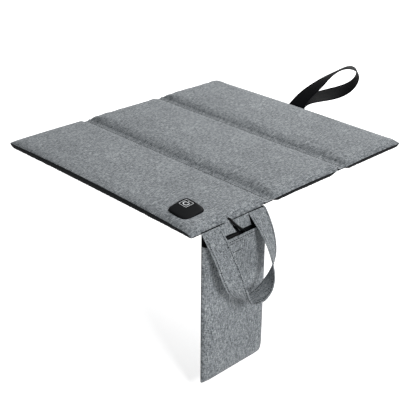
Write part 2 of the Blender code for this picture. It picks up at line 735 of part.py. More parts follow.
def build_flap():
    """The pocket flap: the lining, the bulging pocket front and its two closing tapes."""
    foot = FLAP_TOP - FLAP_LENGTH
    prism("flap_lining", (FLAP_X, FLAP_LEFT, foot), (LINING_FACE, FLAP_RIGHT, FLAP_TOP), LINING_CORNER,
          BLACK_CLOTH, "x")
    base = LINING_FACE + GAP
    width = FLAP_WIDTH - 2 * POCKET_WALL
    length = MOUTH_Z - foot - POCKET_WALL

    def place(u, v):
        rise = round_rise(min(u, width - u), POCKET_SIDE_REACH, POCKET_POWER)
        rise *= round_rise(length - v, POCKET_FOOT_REACH, POCKET_POWER)
        return (base + POCKET_ROOM * rise, FLAP_LEFT + POCKET_WALL + u, MOUTH_Z - v)

    side = [POCKET_SIDE_REACH * s for s in POCKET_LINE_SHARES]
    us = lines(width, side, side, POCKET_SPANS)
    vs = lines(length, [0.0], [POCKET_FOOT_REACH * s for s in POCKET_LINE_SHARES], POCKET_SPANS)
    shape = surface(us, vs, place)
    bmesh.ops.recalc_face_normals(shape, faces=shape.faces[:])
    middle = max(shape.faces, key=lambda f: f.calc_center_median().x)
    if middle.normal.x < 0:
        bmesh.ops.reverse_faces(shape, faces=shape.faces[:])
    front = skin("pocket_front", shape, POCKET_WALL, 1.0, GREY_CLOTH)
    for v in front.data.vertices:
        v.co.x = max(v.co.x, base)

    low = FLAP_LEFT + TAPE_FROM_SIDE
    high_z = MOUTH_Z - TAPE_FROM_MOUTH
    for name, x in (("hook_tape", base), ("loop_tape", POCKET_INNER - GAP - TAPE_WALL)):
        prism(name, (x, low, high_z - TAPE_LENGTH), (x + TAPE_WALL, low + TAPE_WIDTH, high_z),
              0.0, BLACK_CLOTH)


def build_tab():
    """The closing tab between the handle's ends, with the slit that the lead comes through."""
    left = FLAP_LEFT + TAB_FROM_SIDE
    shape = bmesh.new()
    bmesh.ops.create_cube(shape, size=1.0)
    for v in shape.verts:
        down = 0.5 - v.co.z
        lean = TAB_LEAN * down
        v.co = (
            ROOT_X + lean + TAB_WALL * (v.co.x + 0.5),
            left + TAB_WIDTH * (v.co.y + 0.5),
            FLAP_TOP - TAB_LENGTH * down,
        )
    tab = from_bmesh("closing_tab", shape, GREY_CLOTH)
    slit = bmesh.new()
    bmesh.ops.create_cube(slit, size=1.0)
    top = FLAP_TOP - TAB_SLIT_TOP
    foot = FLAP_TOP - TAB_LENGTH - CUT_OVERRUN
    fall = top - foot
    slope = TAB_SLIT_RUN / (TAB_LENGTH - TAB_SLIT_TOP)
    for v in slit.verts:
        down = 0.5 - v.co.z
        y = left + TAB_SLIT_FROM_SIDE + slope * fall * down + TAB_SLIT_WIDTH * v.co.y * (0.5 + down)
        v.co = (ROOT_X + (TAB_LEAN + CUT_OVERRUN) * 2 * v.co.x, y, top - fall * down)
    cut(tab, cutter(from_bmesh("tab_slit", slit, None, cutters)))


def handle_path(s):
    """The strap's centre line and its width direction, from -1 at one end to 1 at the other."""
    a = abs(s)
    side = 1.0 if s >= 0 else -1.0
    x = ROOT_X + HANDLE_WALL / 2 + HANDLE_REACH * (1.0 - a**HANDLE_REACH_POWER)
    spread = HANDLE_HALF_SPAN * math.sqrt(a) + HANDLE_SPREAD * math.sin(math.pi * a)
    y = HANDLE_Y + side * spread + HANDLE_SKEW * (1.0 - a**2)
    z = FLAP_TOP - HANDLE_DROP * (1.0 - a**HANDLE_DROP_POWER)
    turn = -math.pi / 2 * s
    return Vector((x, y, z)), Vector((math.cos(turn), math.sin(turn), 0.0))


def build_handle():
    """The carrying handle. Its stations are evenly spread, closer where the strap turns."""
    stations = []
    for i in range(HANDLE_STATIONS + 1):
        s = 2.0 * i / HANDLE_STATIONS - 1.0
        stations.append(math.copysign(abs(s) ** 1.5, s))
    half = HANDLE_WIDTH / 2
    step = 1.0 / HANDLE_STATIONS / 4

    def place(u, v):
        centre, across = handle_path(u)
        along = (handle_path(min(u + step, 1.0))[0] - handle_path(max(u - step, -1.0))[0]).normalized()
        across = (across - along * across.dot(along)).normalized()
        return centre + across * v

    shape = surface(stations, [-half, 0.0, half], place)
    bmesh.ops.recalc_face_normals(shape, faces=shape.faces[:])
    made = skin("handle_strap", shape, HANDLE_WALL, 0.0, GREY_CLOTH)
    for v in made.data.vertices:
        v.co.x = max(v.co.x, ROOT_X)
        v.co.z = min(v.co.z, FLAP_TOP)


def loop_root_y():
    panel = PANELS["back"]
    return panel_plan(panel, HALF_LENGTH + LOOP_X, OUTER_DEPTH)[1] + GAP


def loop_frame(u):
    """The loop's middle line at u along its heading, and the direction of its width."""
    k = u / LOOP_LENGTH
    lean = LOOP_TURN * k / 2
    heading = LOOP_TURN * k
    rise = LOOP_RISE * k**LOOP_RISE_POWER
    x, y = LOOP_X + u * math.sin(lean), loop_root_y() + u * math.cos(lean)
    return Vector((x, y, LOOP_ROOT_HEIGHT + rise)), Vector((math.cos(heading), -math.sin(heading), 0.0))


def build_loop():
    """The hanging loop, a teardrop of webbing, and the stitched stub that it grows from."""
    start = math.acos(1.0 - 2.0 * (LOOP_ANCHOR_LENGTH + LOOP_WALL / 2) / LOOP_LENGTH)
    half = LOOP_WIDTH / 2

    def strand(t):
        u = LOOP_LENGTH * (1.0 - math.cos(t)) / 2
        centre, across = loop_frame(u)
        lift = LOOP_HALF_HEIGHT * math.sin(t) * math.sin(t / 2) ** LOOP_TIP_POWER
        lift += LOOP_STRAND_OFFSET * math.cos(t / 2)
        return centre + Vector((0.0, 0.0, lift)), across

    span = 2 * math.pi - 2 * start
    stations = [start + span * i / LOOP_STATIONS for i in range(LOOP_STATIONS + 1)]

    def place(t, v):
        centre, across = strand(t)
        return centre + across * v

    shape = surface(stations, [-half, half], place)
    bmesh.ops.recalc_face_normals(shape, faces=shape.faces[:])
    skin("hanging_loop", shape, LOOP_WALL, 0.0, BLACK_WEBBING)

    wide = half + LOOP_ANCHOR_EXTRA
    thick = LOOP_ANCHOR_THICKNESS / 2

    def side(lift):
        def at(u, v):
            centre, across = loop_frame(u)
            return centre + across * v + Vector((0.0, 0.0, lift))
        return at

    us = [LOOP_ANCHOR_LENGTH * i / 3 for i in range(4)]
    from_bmesh("loop_anchor", surface(us, [-wide, wide], side(thick), side(-thick)), BLACK_WEBBING)


def main():
    made = build_panels()
    build_thermal_cutout()
    build_channels()
    patch_hole = build_control(made)
    build_gland(made, patch_hole)
    build_lead()
    build_flap()
    build_tab()
    build_handle()
    build_loop()


main()
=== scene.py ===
# Heated seat cushion: the looks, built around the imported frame
import math

import bpy
from mathutils import Matrix, Vector, noise


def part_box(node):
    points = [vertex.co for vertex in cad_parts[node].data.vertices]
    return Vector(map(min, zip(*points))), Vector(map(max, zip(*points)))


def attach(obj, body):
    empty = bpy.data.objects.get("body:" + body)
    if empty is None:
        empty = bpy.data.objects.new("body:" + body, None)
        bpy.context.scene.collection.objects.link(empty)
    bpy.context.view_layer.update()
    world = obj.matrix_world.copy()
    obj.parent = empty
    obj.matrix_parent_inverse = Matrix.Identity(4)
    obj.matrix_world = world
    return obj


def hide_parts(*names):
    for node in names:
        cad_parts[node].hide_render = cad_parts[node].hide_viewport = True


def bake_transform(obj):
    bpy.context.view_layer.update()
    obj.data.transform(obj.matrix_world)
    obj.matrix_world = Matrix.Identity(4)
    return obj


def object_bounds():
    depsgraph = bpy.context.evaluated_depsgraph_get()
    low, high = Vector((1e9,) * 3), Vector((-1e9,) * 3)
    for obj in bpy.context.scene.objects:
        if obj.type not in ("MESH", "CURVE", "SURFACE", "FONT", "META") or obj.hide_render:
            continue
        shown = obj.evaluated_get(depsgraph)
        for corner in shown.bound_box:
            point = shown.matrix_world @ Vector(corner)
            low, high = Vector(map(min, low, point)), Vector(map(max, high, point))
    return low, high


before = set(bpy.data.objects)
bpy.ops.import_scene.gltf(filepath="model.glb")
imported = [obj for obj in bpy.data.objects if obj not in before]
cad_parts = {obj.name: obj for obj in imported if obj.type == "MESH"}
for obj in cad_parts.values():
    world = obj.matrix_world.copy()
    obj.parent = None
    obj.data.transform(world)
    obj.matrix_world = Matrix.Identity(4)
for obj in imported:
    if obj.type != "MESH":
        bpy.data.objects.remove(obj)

cadLow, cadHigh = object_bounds()
print("stage 1: frame loaded,", len(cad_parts), "nodes")

mm = 0.001   # a millimetre, in metres


# general tools

def deselectAll():
    bpy.ops.object.select_all(action="DESELECT")


def activate(ob):
    deselectAll()
    ob.select_set(True)
    bpy.context.view_layer.objects.active = ob
    return ob


def joinAll(obs, name):
    activate(obs[0])
    for ob in obs:
        ob.select_set(True)
    bpy.ops.object.join()
    obs[0].name = obs[0].data.name = name
    return obs[0]


def settle(ob):
    # the finished object sits at the origin, unturned and unscaled
    activate(ob)
    bpy.ops.object.transform_apply(location=True, rotation=True, scale=True)
    return ob


def modify(ob, kind, **settings):
    # adds one modifier and applies it
    mod = ob.modifiers.new(kind.lower(), kind)
    for key, value in settings.items():
        setattr(mod, key, value)
    activate(ob)
    bpy.ops.object.modifier_apply(modifier=mod.name)
    return ob


def faceOutward(ob):
    # merges the doubles, and then turns the faces outwards
    activate(ob)
    bpy.ops.object.mode_set(mode="EDIT")
    bpy.ops.mesh.select_all(action="SELECT")
    bpy.ops.mesh.remove_doubles(threshold=0.02 * mm)
    bpy.ops.mesh.normals_make_consistent(inside=False)
    bpy.ops.object.mode_set(mode="OBJECT")
    return ob


def thicken(ob, wall, offset=0.0, edge=0.0, segments=3):
    # gives a cloth its wall, and rounds its rim where it turns by more than 50 degrees
    faceOutward(modify(ob, "SOLIDIFY", thickness=wall, offset=offset))
    if edge:
        modify(ob, "BEVEL", width=edge, segments=segments, limit_method="ANGLE",
               angle_limit=math.radians(50))
    return ob


def smoothShade(ob, angle):
    activate(ob)
    bpy.ops.object.shade_smooth_by_angle(angle=math.radians(angle))
    return ob


def coat(ob, material, angle):
    ob.data.materials.clear()
    ob.data.materials.append(material)
    return smoothShade(ob, angle)


def clothGrid(name, us, vs, place):
    # a flat grid laid out by place(u, v), with its UV map in metres of cloth
    deselectAll()
    bpy.ops.mesh.primitive_grid_add(x_subdivisions=len(us) - 1, y_subdivisions=len(vs) - 1, size=2)
    ob = bpy.context.active_object
    ob.name = ob.data.name = name
    flat = []
    for v in ob.data.vertices:
        i = round((v.co.x + 1) / 2 * (len(us) - 1))
        j = round((v.co.y + 1) / 2 * (len(vs) - 1))
        flat.append((us[i], vs[j]))
    layer = ob.data.uv_layers.active
    for corner in ob.data.loops:
        layer.data[corner.index].uv = flat[corner.vertex_index]
    for v in ob.data.vertices:
        v.co = place(*flat[v.index])
    return ob


def strapGrid(name, stations, widths, centreAt, place):
    # a cloth grid along a bent strap, whose UV map measures the strap's run along its centre line
    run = [0.0]
    for a, b in zip(stations, stations[1:]):
        run.append(run[-1] + (centreAt(b) - centreAt(a)).length)
    runAt = dict(zip(stations, run))
    ob = clothGrid(name, stations, widths, place)
    layer = ob.data.uv_layers.active
    for corner in ob.data.loops:
        s, v = layer.data[corner.index].uv
        nearest = min(stations, key=lambda station: abs(station - s))
        layer.data[corner.index].uv = (v, runAt[nearest])
    return ob


def steps(low, high, size):
    count = max(1, round((high - low) / size))
    return [low + (high - low) * i / count for i in range(count + 1)]


def rimmedLines(length, low, high, shares, size):
    # grid lines that lie closer together within the low and the high reach of the two rims
    near = [low * share for share in shares]
    far = [length - high * share for share in reversed(shares)]
    return near[:-1] + steps(near[-1], far[0], size) + far[1:]


def rounded(distance, reach, power):
    # rises from 0 at the edge to 1 at the reach, as a rounded rim does
    left = max(0.0, 1.0 - distance / reach)
    return (1.0 - left**power) ** (1.0 / power)


def softStep(x):
    x = min(1.0, max(0.0, x))
    return x * x * (3 - 2 * x)


def bell(x, place, reach):
    return math.exp(-(((x - place) / reach) ** 2))


def ripple(x, y, z, size, seed):
    # smooth noise from -1 to 1, with hills about size wide
    return noise.noise(Vector((x / size + seed, y / size - seed, z / size + 2.3 * seed)))


# materials

def hexToLinear(colour):
    parts = [int(colour[i:i + 2], 16) / 255 for i in (1, 3, 5)]
    return [c / 12.92 if c <= 0.04045 else ((c + 0.055) / 1.055) ** 2.4 for c in parts] + [1]


def addNode(tree, kind, settings=None, links=None):
    # one node, with its settings by name and its inputs as values, sockets or other nodes
    node = tree.nodes.new("ShaderNode" + kind)
    for key, value in (settings or {}).items():
        setattr(node, key, value)
    for key, value in (links or {}).items():
        if isinstance(value, bpy.types.Node):
            value = value.outputs[0]
        if isinstance(value, bpy.types.NodeSocket):
            tree.links.new(value, node.inputs[key])
        else:
            node.inputs[key].default_value = value
    return node


def setRamp(node, stops):
    elements = node.color_ramp.elements
    while len(elements) < len(stops):
        elements.new(0.5)
    for element, (place, colour) in zip(elements, stops):
        element.position = place
        element.color = hexToLinear(colour)
    return node.outputs["Color"]


def startMaterial(name, **sockets):
    made = bpy.data.materials.new(name)
    made.use_nodes = True
    tree = made.node_tree
    shader = tree.nodes["Principled BSDF"]
    for key, value in sockets.items():
        shader.inputs[key.replace("_", " ")].default_value = value
    return made, tree, shader


def colourAndRelief(tree, shader, colour, height, strength, depth):
    bump = addNode(tree, "Bump", None, {"Height": height, "Strength": strength, "Distance": depth})
    tree.links.new(colour, shader.inputs["Base Color"])
    tree.links.new(bump.outputs[0], shader.inputs["Normal"])


def stretched(tree, source, x, y, z=1.0, *, detail, seed, rough=0.5):
    # noise whose grains are about x by y by z metres
    mapping = addNode(tree, "Mapping", None, {
        "Vector": source, "Scale": (1 / x, 1 / y, 1 / z), "Location": (seed, 2 * seed, 3 * seed)})
    grains = addNode(tree, "TexNoise", None, {
        "Vector": mapping, "Scale": 1.0, "Detail": detail, "Roughness": rough})
    return grains.outputs["Fac"]


def weighted(tree, *parts):
    # the sum of each pattern times its weight
    total = 0.0
    for pattern, weight in parts:
        total = addNode(tree, "Math", {"operation": "MULTIPLY_ADD"}, {0: pattern, 1: weight, 2: total})
    return total


def wave(tree, angle):
    # a sine from 0 to 1
    sine = addNode(tree, "Math", {"operation": "SINE"}, {0: angle})
    return addNode(tree, "Math", {"operation": "MULTIPLY_ADD"}, {0: sine, 1: 0.5, 2: 0.5})


def weave(tree, source, pitch):
    # height of a plain weave, threads over and under each other, from 0 to 1
    ways = addNode(tree, "SeparateXYZ", None, {0: source}).outputs
    across, along = (
        addNode(tree, "Math", {"operation": "SINE"}, {0: weighted(tree, (way, math.pi / pitch))})
        for way in (ways[0], ways[1]))
    crossed = addNode(tree, "Math", {"operation": "MULTIPLY"}, {0: across, 1: along})
    return addNode(tree, "Math", {"operation": "MULTIPLY_ADD"}, {0: crossed, 1: 0.5, 2: 0.5})


melange = {
    "tones": [(0.0, "#2c3033"), (0.27, "#666b6f"), (0.5, "#898e92"), (0.73, "#a9aeb1"), (1.0, "#d6dadc")],
    "slubAcross": 1.05 * mm,   # a real thread is 0.4 mm: drawn coarser, or it would not show
    "slubAlong": 5.5 * mm,
    "fleck": 0.95 * mm,
    "cloudAcross": 60 * mm, "cloudAlong": 50 * mm,
    "middle": 0.505, "contrast": 4.1,
    "pitch": 0.9 * mm,
    "relief": 0.16 * mm,
}


def melangeCloth():
    # Linen-look polyester, piece-dyed grey over mixed pale and dark slub yarn, plain woven: matt, with
    # short streaks both ways and a faint bloom at grazing light
    made, tree, shader = startMaterial("melange polyester cloth", Roughness=0.88, IOR=1.5,
                                       Sheen_Weight=0.1, Sheen_Roughness=0.55, Specular_IOR_Level=0.3)
    uv = addNode(tree, "TexCoord").outputs["UV"]
    across, along, fine = melange["slubAcross"], melange["slubAlong"], melange["fleck"]
    warp = stretched(tree, uv, across, along, detail=2.5, seed=3.1, rough=0.6)
    weft = stretched(tree, uv, along, across, detail=2.5, seed=7.7, rough=0.6)
    fleck = stretched(tree, uv, fine, fine, detail=2.0, seed=1.7, rough=0.65)
    cloud = stretched(tree, uv, melange["cloudAcross"], melange["cloudAlong"], detail=1.0, seed=9.2)
    mixed = weighted(tree, (weft, 0.30), (warp, 0.36), (fleck, 0.30), (cloud, 0.05))
    centred = addNode(tree, "Math", {"operation": "SUBTRACT"}, {0: mixed, 1: melange["middle"]})
    tone = addNode(tree, "Math", {"operation": "MULTIPLY_ADD"},
                   {0: centred, 1: melange["contrast"], 2: 0.5})
    colour = setRamp(addNode(tree, "ValToRGB", None, {"Fac": tone}), melange["tones"])
    height = weighted(tree, (tone, 0.55), (weave(tree, uv, melange["pitch"]), 0.45))
    colourAndRelief(tree, shader, colour, height, 0.75, melange["relief"])
    return made


oxford = {"tones": [(0.25, "#0b0c0e"), (0.8, "#181a1d")], "uneven": 2.0 * mm, "relief": 0.12 * mm,
          "pitch": 1.0 * mm}   # the real pitch is 0.5 mm, drawn double so that it shows


def blackOxford():
    # Solution-dyed polyester oxford, woven from doubled yarn: near black, with a dry sheen on the threads
    made, tree, shader = startMaterial("black oxford cloth", Roughness=0.8, Sheen_Weight=0.02,
                                       Sheen_Roughness=0.5, Specular_IOR_Level=0.08)
    uv = addNode(tree, "TexCoord").outputs["UV"]
    size = oxford["uneven"]
    uneven = stretched(tree, uv, size, size, size, detail=3.0, seed=4.0)
    tone = weighted(tree, (uneven, 0.5), (weave(tree, uv, oxford["pitch"]), 0.5))
    colour = setRamp(addNode(tree, "ValToRGB", None, {"Fac": tone}), oxford["tones"])
    colourAndRelief(tree, shader, colour, tone, 0.6, oxford["relief"])
    return made


webbing = {"tones": [(0.15, "#040506"), (0.9, "#101114")], "ribs": 1.6 * mm, "picks": 1.5 * mm,
           "slant": 1.1, "relief": 0.3 * mm}


def ribbedWebbing():
    # Flat woven polypropylene webbing: rows of fat ribs, crossed by fine picks, with a waxy gleam
    made, tree, shader = startMaterial("black polypropylene webbing", Roughness=0.58,
                                       Specular_IOR_Level=0.02)
    uv = addNode(tree, "TexCoord").outputs["UV"]
    across, along = addNode(tree, "SeparateXYZ", None, {0: uv}).outputs[:2]
    arch = addNode(tree, "Math", {"operation": "SINE"},
                   {0: weighted(tree, (across, math.pi / webbing["ribs"]))})
    rib = addNode(tree, "Math", {"operation": "ABSOLUTE"}, {0: arch})
    pick = wave(tree, weighted(tree, (along, 2 * math.pi / webbing["picks"]), (rib, webbing["slant"])))
    tone = weighted(tree, (pick, 0.4), (rib, 0.6))
    colour = setRamp(addNode(tree, "ValToRGB", None, {"Fac": tone}), webbing["tones"])
    colourAndRelief(tree, shader, colour, tone, 0.8, webbing["relief"])
    return made


def moulded(name, colour, roughness, grit=0.5 * mm, depth=0.03 * mm, metallic=0.0, shift=0.24,
            specular=0.5):
    # a moulded or rolled surface: even colour, fine spark texture and slightly uneven gloss
    made, tree, shader = startMaterial(name, Roughness=roughness, Metallic=metallic,
                                       Specular_IOR_Level=specular)
    at = addNode(tree, "TexCoord").outputs["Object"]
    patch = 14 * grit
    grain = stretched(tree, at, grit, grit, grit, detail=3.0, seed=2.0)
    broad = stretched(tree, at, patch, patch, patch, detail=1.0, seed=5.0)
    base = hexToLinear(colour)
    lighter = [min(1.0, c * (1 + shift)) for c in base[:3]] + [1]
    mix = addNode(tree, "Mix", {"data_type": "RGBA"}, {"Factor": broad, "A": base, "B": lighter})
    uneven = 0.12
    gloss = addNode(tree, "Math", {"operation": "MULTIPLY_ADD"},
                    {0: broad, 1: uneven, 2: roughness - uneven / 2})
    tree.links.new(gloss.outputs[0], shader.inputs["Roughness"])
    colourAndRelief(tree, shader, mix.outputs["Result"], grain, 0.5, depth)
    return made


def fibrous(name, low, high, grain, depth):
    # open foam, carded fibre or felt: matt, with cells or fibres standing up
    made, tree, shader = startMaterial(name, Roughness=0.95)
    at = addNode(tree, "TexCoord").outputs["Object"]
    cells = stretched(tree, at, grain, grain, grain, detail=4.0, seed=6.0, rough=0.65)
    colour = setRamp(addNode(tree, "ValToRGB", None, {"Fac": cells}), [(0.3, low), (0.7, high)])
    colourAndRelief(tree, shader, colour, cells, 0.8, depth)
    return made


greyCloth = melangeCloth()
blackCloth = blackOxford()
webbingBlack = ribbedWebbing()
# soft and dull, with hardly a highlight, and the cable's jacket a little shinier
silicone = moulded("black silicone rubber, moulded", "#090b0d", 0.5, 0.4 * mm, 0.02 * mm, shift=0.08,
                   specular=0.02)
cableJacket = moulded("black cable jacket, extruded", "#070809", 0.5, 0.6 * mm, 0.02 * mm, specular=0.08)
# an even, flat print, and a fine satin grain on the plug
printWhite = moulded("pale grey pad print", "#dfe2e4", 0.5, 0.3 * mm, 0.01 * mm)
plugPlastic = moulded("black overmould, spark eroded", "#17181a", 0.55, 0.25 * mm, 0.03 * mm)
# bright metal: smooth plating, rolled stamping, and the warm ribbon
platedSteel = moulded("nickel-plated steel, pressed", "#b9bbbd", 0.28, 0.5 * mm, 0.004 * mm, 1.0)
switchSteel = moulded("stamped steel", "#9fa1a3", 0.35, 0.4 * mm, 0.01 * mm, 1.0)
ribbonJacket = moulded("copper ribbon, tinned", "#b9855f", 0.35, 0.8 * mm, 0.02 * mm, 1.0)
# twisted thread, a little glossier where it is black
darkThread = moulded("dark grey sewing thread", "#1d2023", 0.75, 0.3 * mm, 0.05 * mm)
blackThread = moulded("black sewing thread", "#0e0f11", 0.65, 0.3 * mm, 0.05 * mm)
# piles and cells, from the coarse fibre to the fine tape
fibreWhite = fibrous("white polyester fibre, carded", "#cfd0cd", "#f0f0ee", 2.2 * mm, 0.5 * mm)
feltGrey = fibrous("grey needle felt", "#a9acb0", "#c5c8cb", 1.2 * mm, 0.2 * mm)
foamCream = fibrous("cream polyurethane foam", "#d6ca9f", "#e9dfbd", 0.8 * mm, 0.3 * mm)
tapeNylon = fibrous("black nylon tape, hooks and pile", "#070708", "#1c1d1f", 0.7 * mm, 0.3 * mm)
# satin wire jacket, and the glossy film and board inside
wireJacket = moulded("red-brown silicone wire jacket", "#5a1a12", 0.5)
filmAmber = moulded("amber insulating film", "#a0641c", 0.3)
boardGreen = moulded("green solder mask", "#12512b", 0.35, 0.8 * mm)
print("stage 2: materials made")


# camera: solved from the photograph's seams and corners

cameraSet = {
    "yaw": 45.687, "pitch": 26.513, "roll": 0.586, "distance": 1.3558, "right": 0.0031, "up": -0.0913,
    "focal": 890.0, "frame": 416.0, "sensor": 36.0, "near": 0.05, "far": 50,
}


def makeCamera():
    yaw, pitch, roll = (math.radians(cameraSet[k]) for k in ("yaw", "pitch", "roll"))
    back = Vector((math.sin(yaw) * math.cos(pitch), -math.cos(yaw) * math.cos(pitch), math.sin(pitch)))
    level = Vector((math.cos(yaw), math.sin(yaw), 0))
    upright = back.cross(level)
    right = level * math.cos(roll) + upright * math.sin(roll)
    up = upright * math.cos(roll) - level * math.sin(roll)
    data = bpy.data.cameras.new("photo view")
    data.sensor_width = cameraSet["sensor"]
    data.lens = cameraSet["focal"] * cameraSet["sensor"] / cameraSet["frame"]
    data.clip_start, data.clip_end = cameraSet["near"], cameraSet["far"]
    cam = bpy.data.objects.new("photo view", data)
    bpy.context.scene.collection.objects.link(cam)
    place = back * cameraSet["distance"] + right * cameraSet["right"] + up * cameraSet["up"]
    cam.matrix_world = Matrix.Translation(place) @ Matrix((right, up, back)).transposed().to_4x4()
    bpy.context.scene.camera = cam


makeCamera()


# the lead: out of the gland in the panel's end, down over the tab and into the pocket

lead = {
    "route": [
        (0.2006, -0.1550, 0.0093), (0.2046, -0.1550, 0.0093), (0.2082, -0.1530, 0.0055),
        (0.2085, -0.1465, -0.0010), (0.2080, -0.1390, -0.0080), (0.2070, -0.1310, -0.0150),
        (0.2064, -0.1275, -0.0220), (0.2063, -0.1270, -0.0297),
    ],
    "diameter": 3.4 * mm,
    "sides": 14,
    "between": 8,   # points from one point of the route to the next
}


def smoothLine(points, between):
    # a smooth line through the points (Catmull-Rom)
    ends = [Vector(p) for p in points]
    ends = [ends[0] * 2 - ends[1], *ends, ends[-1] * 2 - ends[-2]]
    made = []
    for a, b, c, d in zip(ends, ends[1:], ends[2:], ends[3:]):
        for i in range(between):
            t = i / between
            made.append(0.5 * (2 * b + (c - a) * t + (2 * a - 5 * b + 4 * c - d) * t**2
                               + (3 * b - a - 3 * c + d) * t**3))
    return made + [ends[-2]]


def lineLength(points):
    return sum((q - p).length for p, q in zip(points, points[1:]))


def makeLead():
    points = smoothLine(lead["route"], lead["between"])
    curve = bpy.data.curves.new("lead", "CURVE")
    curve.dimensions = "3D"
    curve.bevel_depth = lead["diameter"] / 2
    curve.bevel_resolution = lead["sides"] // 2 - 2
    curve.use_fill_caps = True
    spline = curve.splines.new("POLY")
    spline.points.add(len(points) - 1)
    for target, point in zip(spline.points, points):
        target.co = (*point, 1)
    ob = bpy.data.objects.new("lead", curve)
    bpy.context.scene.collection.objects.link(ob)
    activate(ob)
    bpy.ops.object.convert(target="MESH")
    ob = bpy.context.active_object
    coat(faceOutward(ob), cableJacket, 50)
    lineLength(points)
    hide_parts("usb_lead")
    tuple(points[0])
    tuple(points[len(points) // 2])
    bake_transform(ob)


makeLead()
print("stage 3: camera and lead made")


# the three pads

pad = {
    "grid": 3.0 * mm,
    "rimShares": (0, 0.012, 0.04, 0.09, 0.16, 0.26, 0.38, 0.52, 0.68, 0.84, 1),   # finer near a rim
    "halfDepth": 218.5 * mm,
    "freeRound": 18 * mm, "freePower": 2.2,
    "crestRound": 5 * mm, "crestPower": 2.4,       # the edge that looks away from the front
    "slopeRound": 17 * mm, "slopePower": 1.5,      # the edge that looks to the front
    "endShort": 0.5, "endShortReach": 45 * mm,     # the slopes shorten towards the ends
    "underRound": 7 * mm, "underPower": 2.2, "underChannel": 14 * mm,
    "seamLift": 3.7 * mm, "endLift": 1.5 * mm, "seamLiftReach": 16 * mm, "seamBow": 0.8, "seamLean": 0.2,
    "dome": 1.6 * mm,
    "hood": 3.2 * mm, "hoodReach": 12 * mm, "hoodWidth": 8 * mm,   # over the lead's exit
    "hoodRise": 0.45,
    "hemDrop": 3.4 * mm, "hemDropReach": 13 * mm,  # the cloth turned down over the flap's seam
    "hemDropFrom": 0.5 * mm, "hemDropRamp": 5 * mm,
    "channelPull": 0.7 * mm, "channelPullReach": 5 * mm,
    "cornerPull": 0.4 * mm, "cornerPullReach": 3 * mm,
    "edgePull": 1.2 * mm, "edgePullPower": 8,
    "dentReach": 9 * mm, "dent": 0.3 * mm,         # around the keypad
    "coverGap": 0.15 * mm,         # the covers stop a hair above and below the seam
    "sewnReach": 1.6 * mm, "restReach": 0.5 * mm,  # what is sewn, or rests, doesn't swell
    "swell": 0.6 * mm, "sink": 0.15 * mm,          # how far the cloth may move from the sewn shape
    "frames": 20,
}
stuffing = {
    "quality": 6, "mass": 0.25, "tension_stiffness": 12, "compression_stiffness": 12,
    "shear_stiffness": 6, "bending_stiffness": 0.4, "use_pressure": True, "uniform_pressure_force": 4,
    "shrink_min": -0.012, "vertex_group_mass": "sewn",
}


def padFacts(side):
    topLow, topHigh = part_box(side + "_top_cover")
    topLow.z -= pad["coverGap"]
    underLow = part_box(side + "_bottom_cover")[0]
    reachOut = max(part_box(n)[1].x for n in ("front_top_cover", "middle_top_cover", "back_top_cover"))
    return {
        "side": side, "half": reachOut,
        "seam": topLow.z, "crown": topHigh.z - topLow.z, "under": underLow.z,
        "low": topLow.y if side != "front" else -pad["halfDepth"],
        "high": topHigh.y if side != "back" else pad["halfDepth"],
        "lowFree": side == "front", "highFree": side == "back",
    }


def padPlan(facts, u, v):
    # where a point of the cloth lies in plan: the edges pull in between the corners and at the channels
    depth = facts["high"] - facts["low"]
    along = u / facts["half"] - 1
    pull = 0.0
    for distance, free in ((v, facts["lowFree"]), (depth - v, facts["highFree"])):
        kind = "cornerPull" if free else "channelPull"
        pull += pad[kind] * (1 - rounded(distance, pad[kind + "Reach"], 2))
    share = v / depth
    edge = pad["edgePull"] * (1 - along**2)
    edge += pad["cornerPull"] * (1 - rounded(min(u, 2 * facts["half"] - u), pad["cornerPullReach"], 2))
    y = facts["low"] + v
    if facts["lowFree"]:
        y += edge * (1 - share) ** pad["edgePullPower"]
    if facts["highFree"]:
        y -= edge * share ** pad["edgePullPower"]
    return along * (facts["half"] - pull) + pad["hood"] * hoodShare(facts, u, y), y


def hoodShare(facts, u, y):
    # the cloth stands out a little over the place where the lead leaves the panel's end
    if facts["side"] != "front":
        return 0.0
    near = max(0.0, 1 - (2 * facts["half"] - u) / pad["hoodReach"])
    return near * bell(y, lead["route"][0][1], pad["hoodWidth"])


def padRise(facts, u, v, free, power, slopeSide, crestSide):
    depth = facts["high"] - facts["low"]
    fromEnd = min(u, 2 * facts["half"] - u)
    rise = rounded(fromEnd, free, power)
    rise *= rounded(v, free, power) if facts["lowFree"] else slopeSide(v, fromEnd)
    return rise * (rounded(depth - v, free, power) if facts["highFree"] else crestSide(depth - v))


def slopeSide(distance, fromEnd):
    short = pad["endShort"] * (1 - softStep(fromEnd / pad["endShortReach"]))
    return rounded(distance, pad["slopeRound"] * (1 - short), pad["slopePower"])


def crestSide(distance):
    return rounded(distance, pad["crestRound"], pad["crestPower"])


def softSide(distance, fromEnd=0.0):
    return math.sin(math.pi / 2 * min(1.0, distance / pad["underChannel"]))


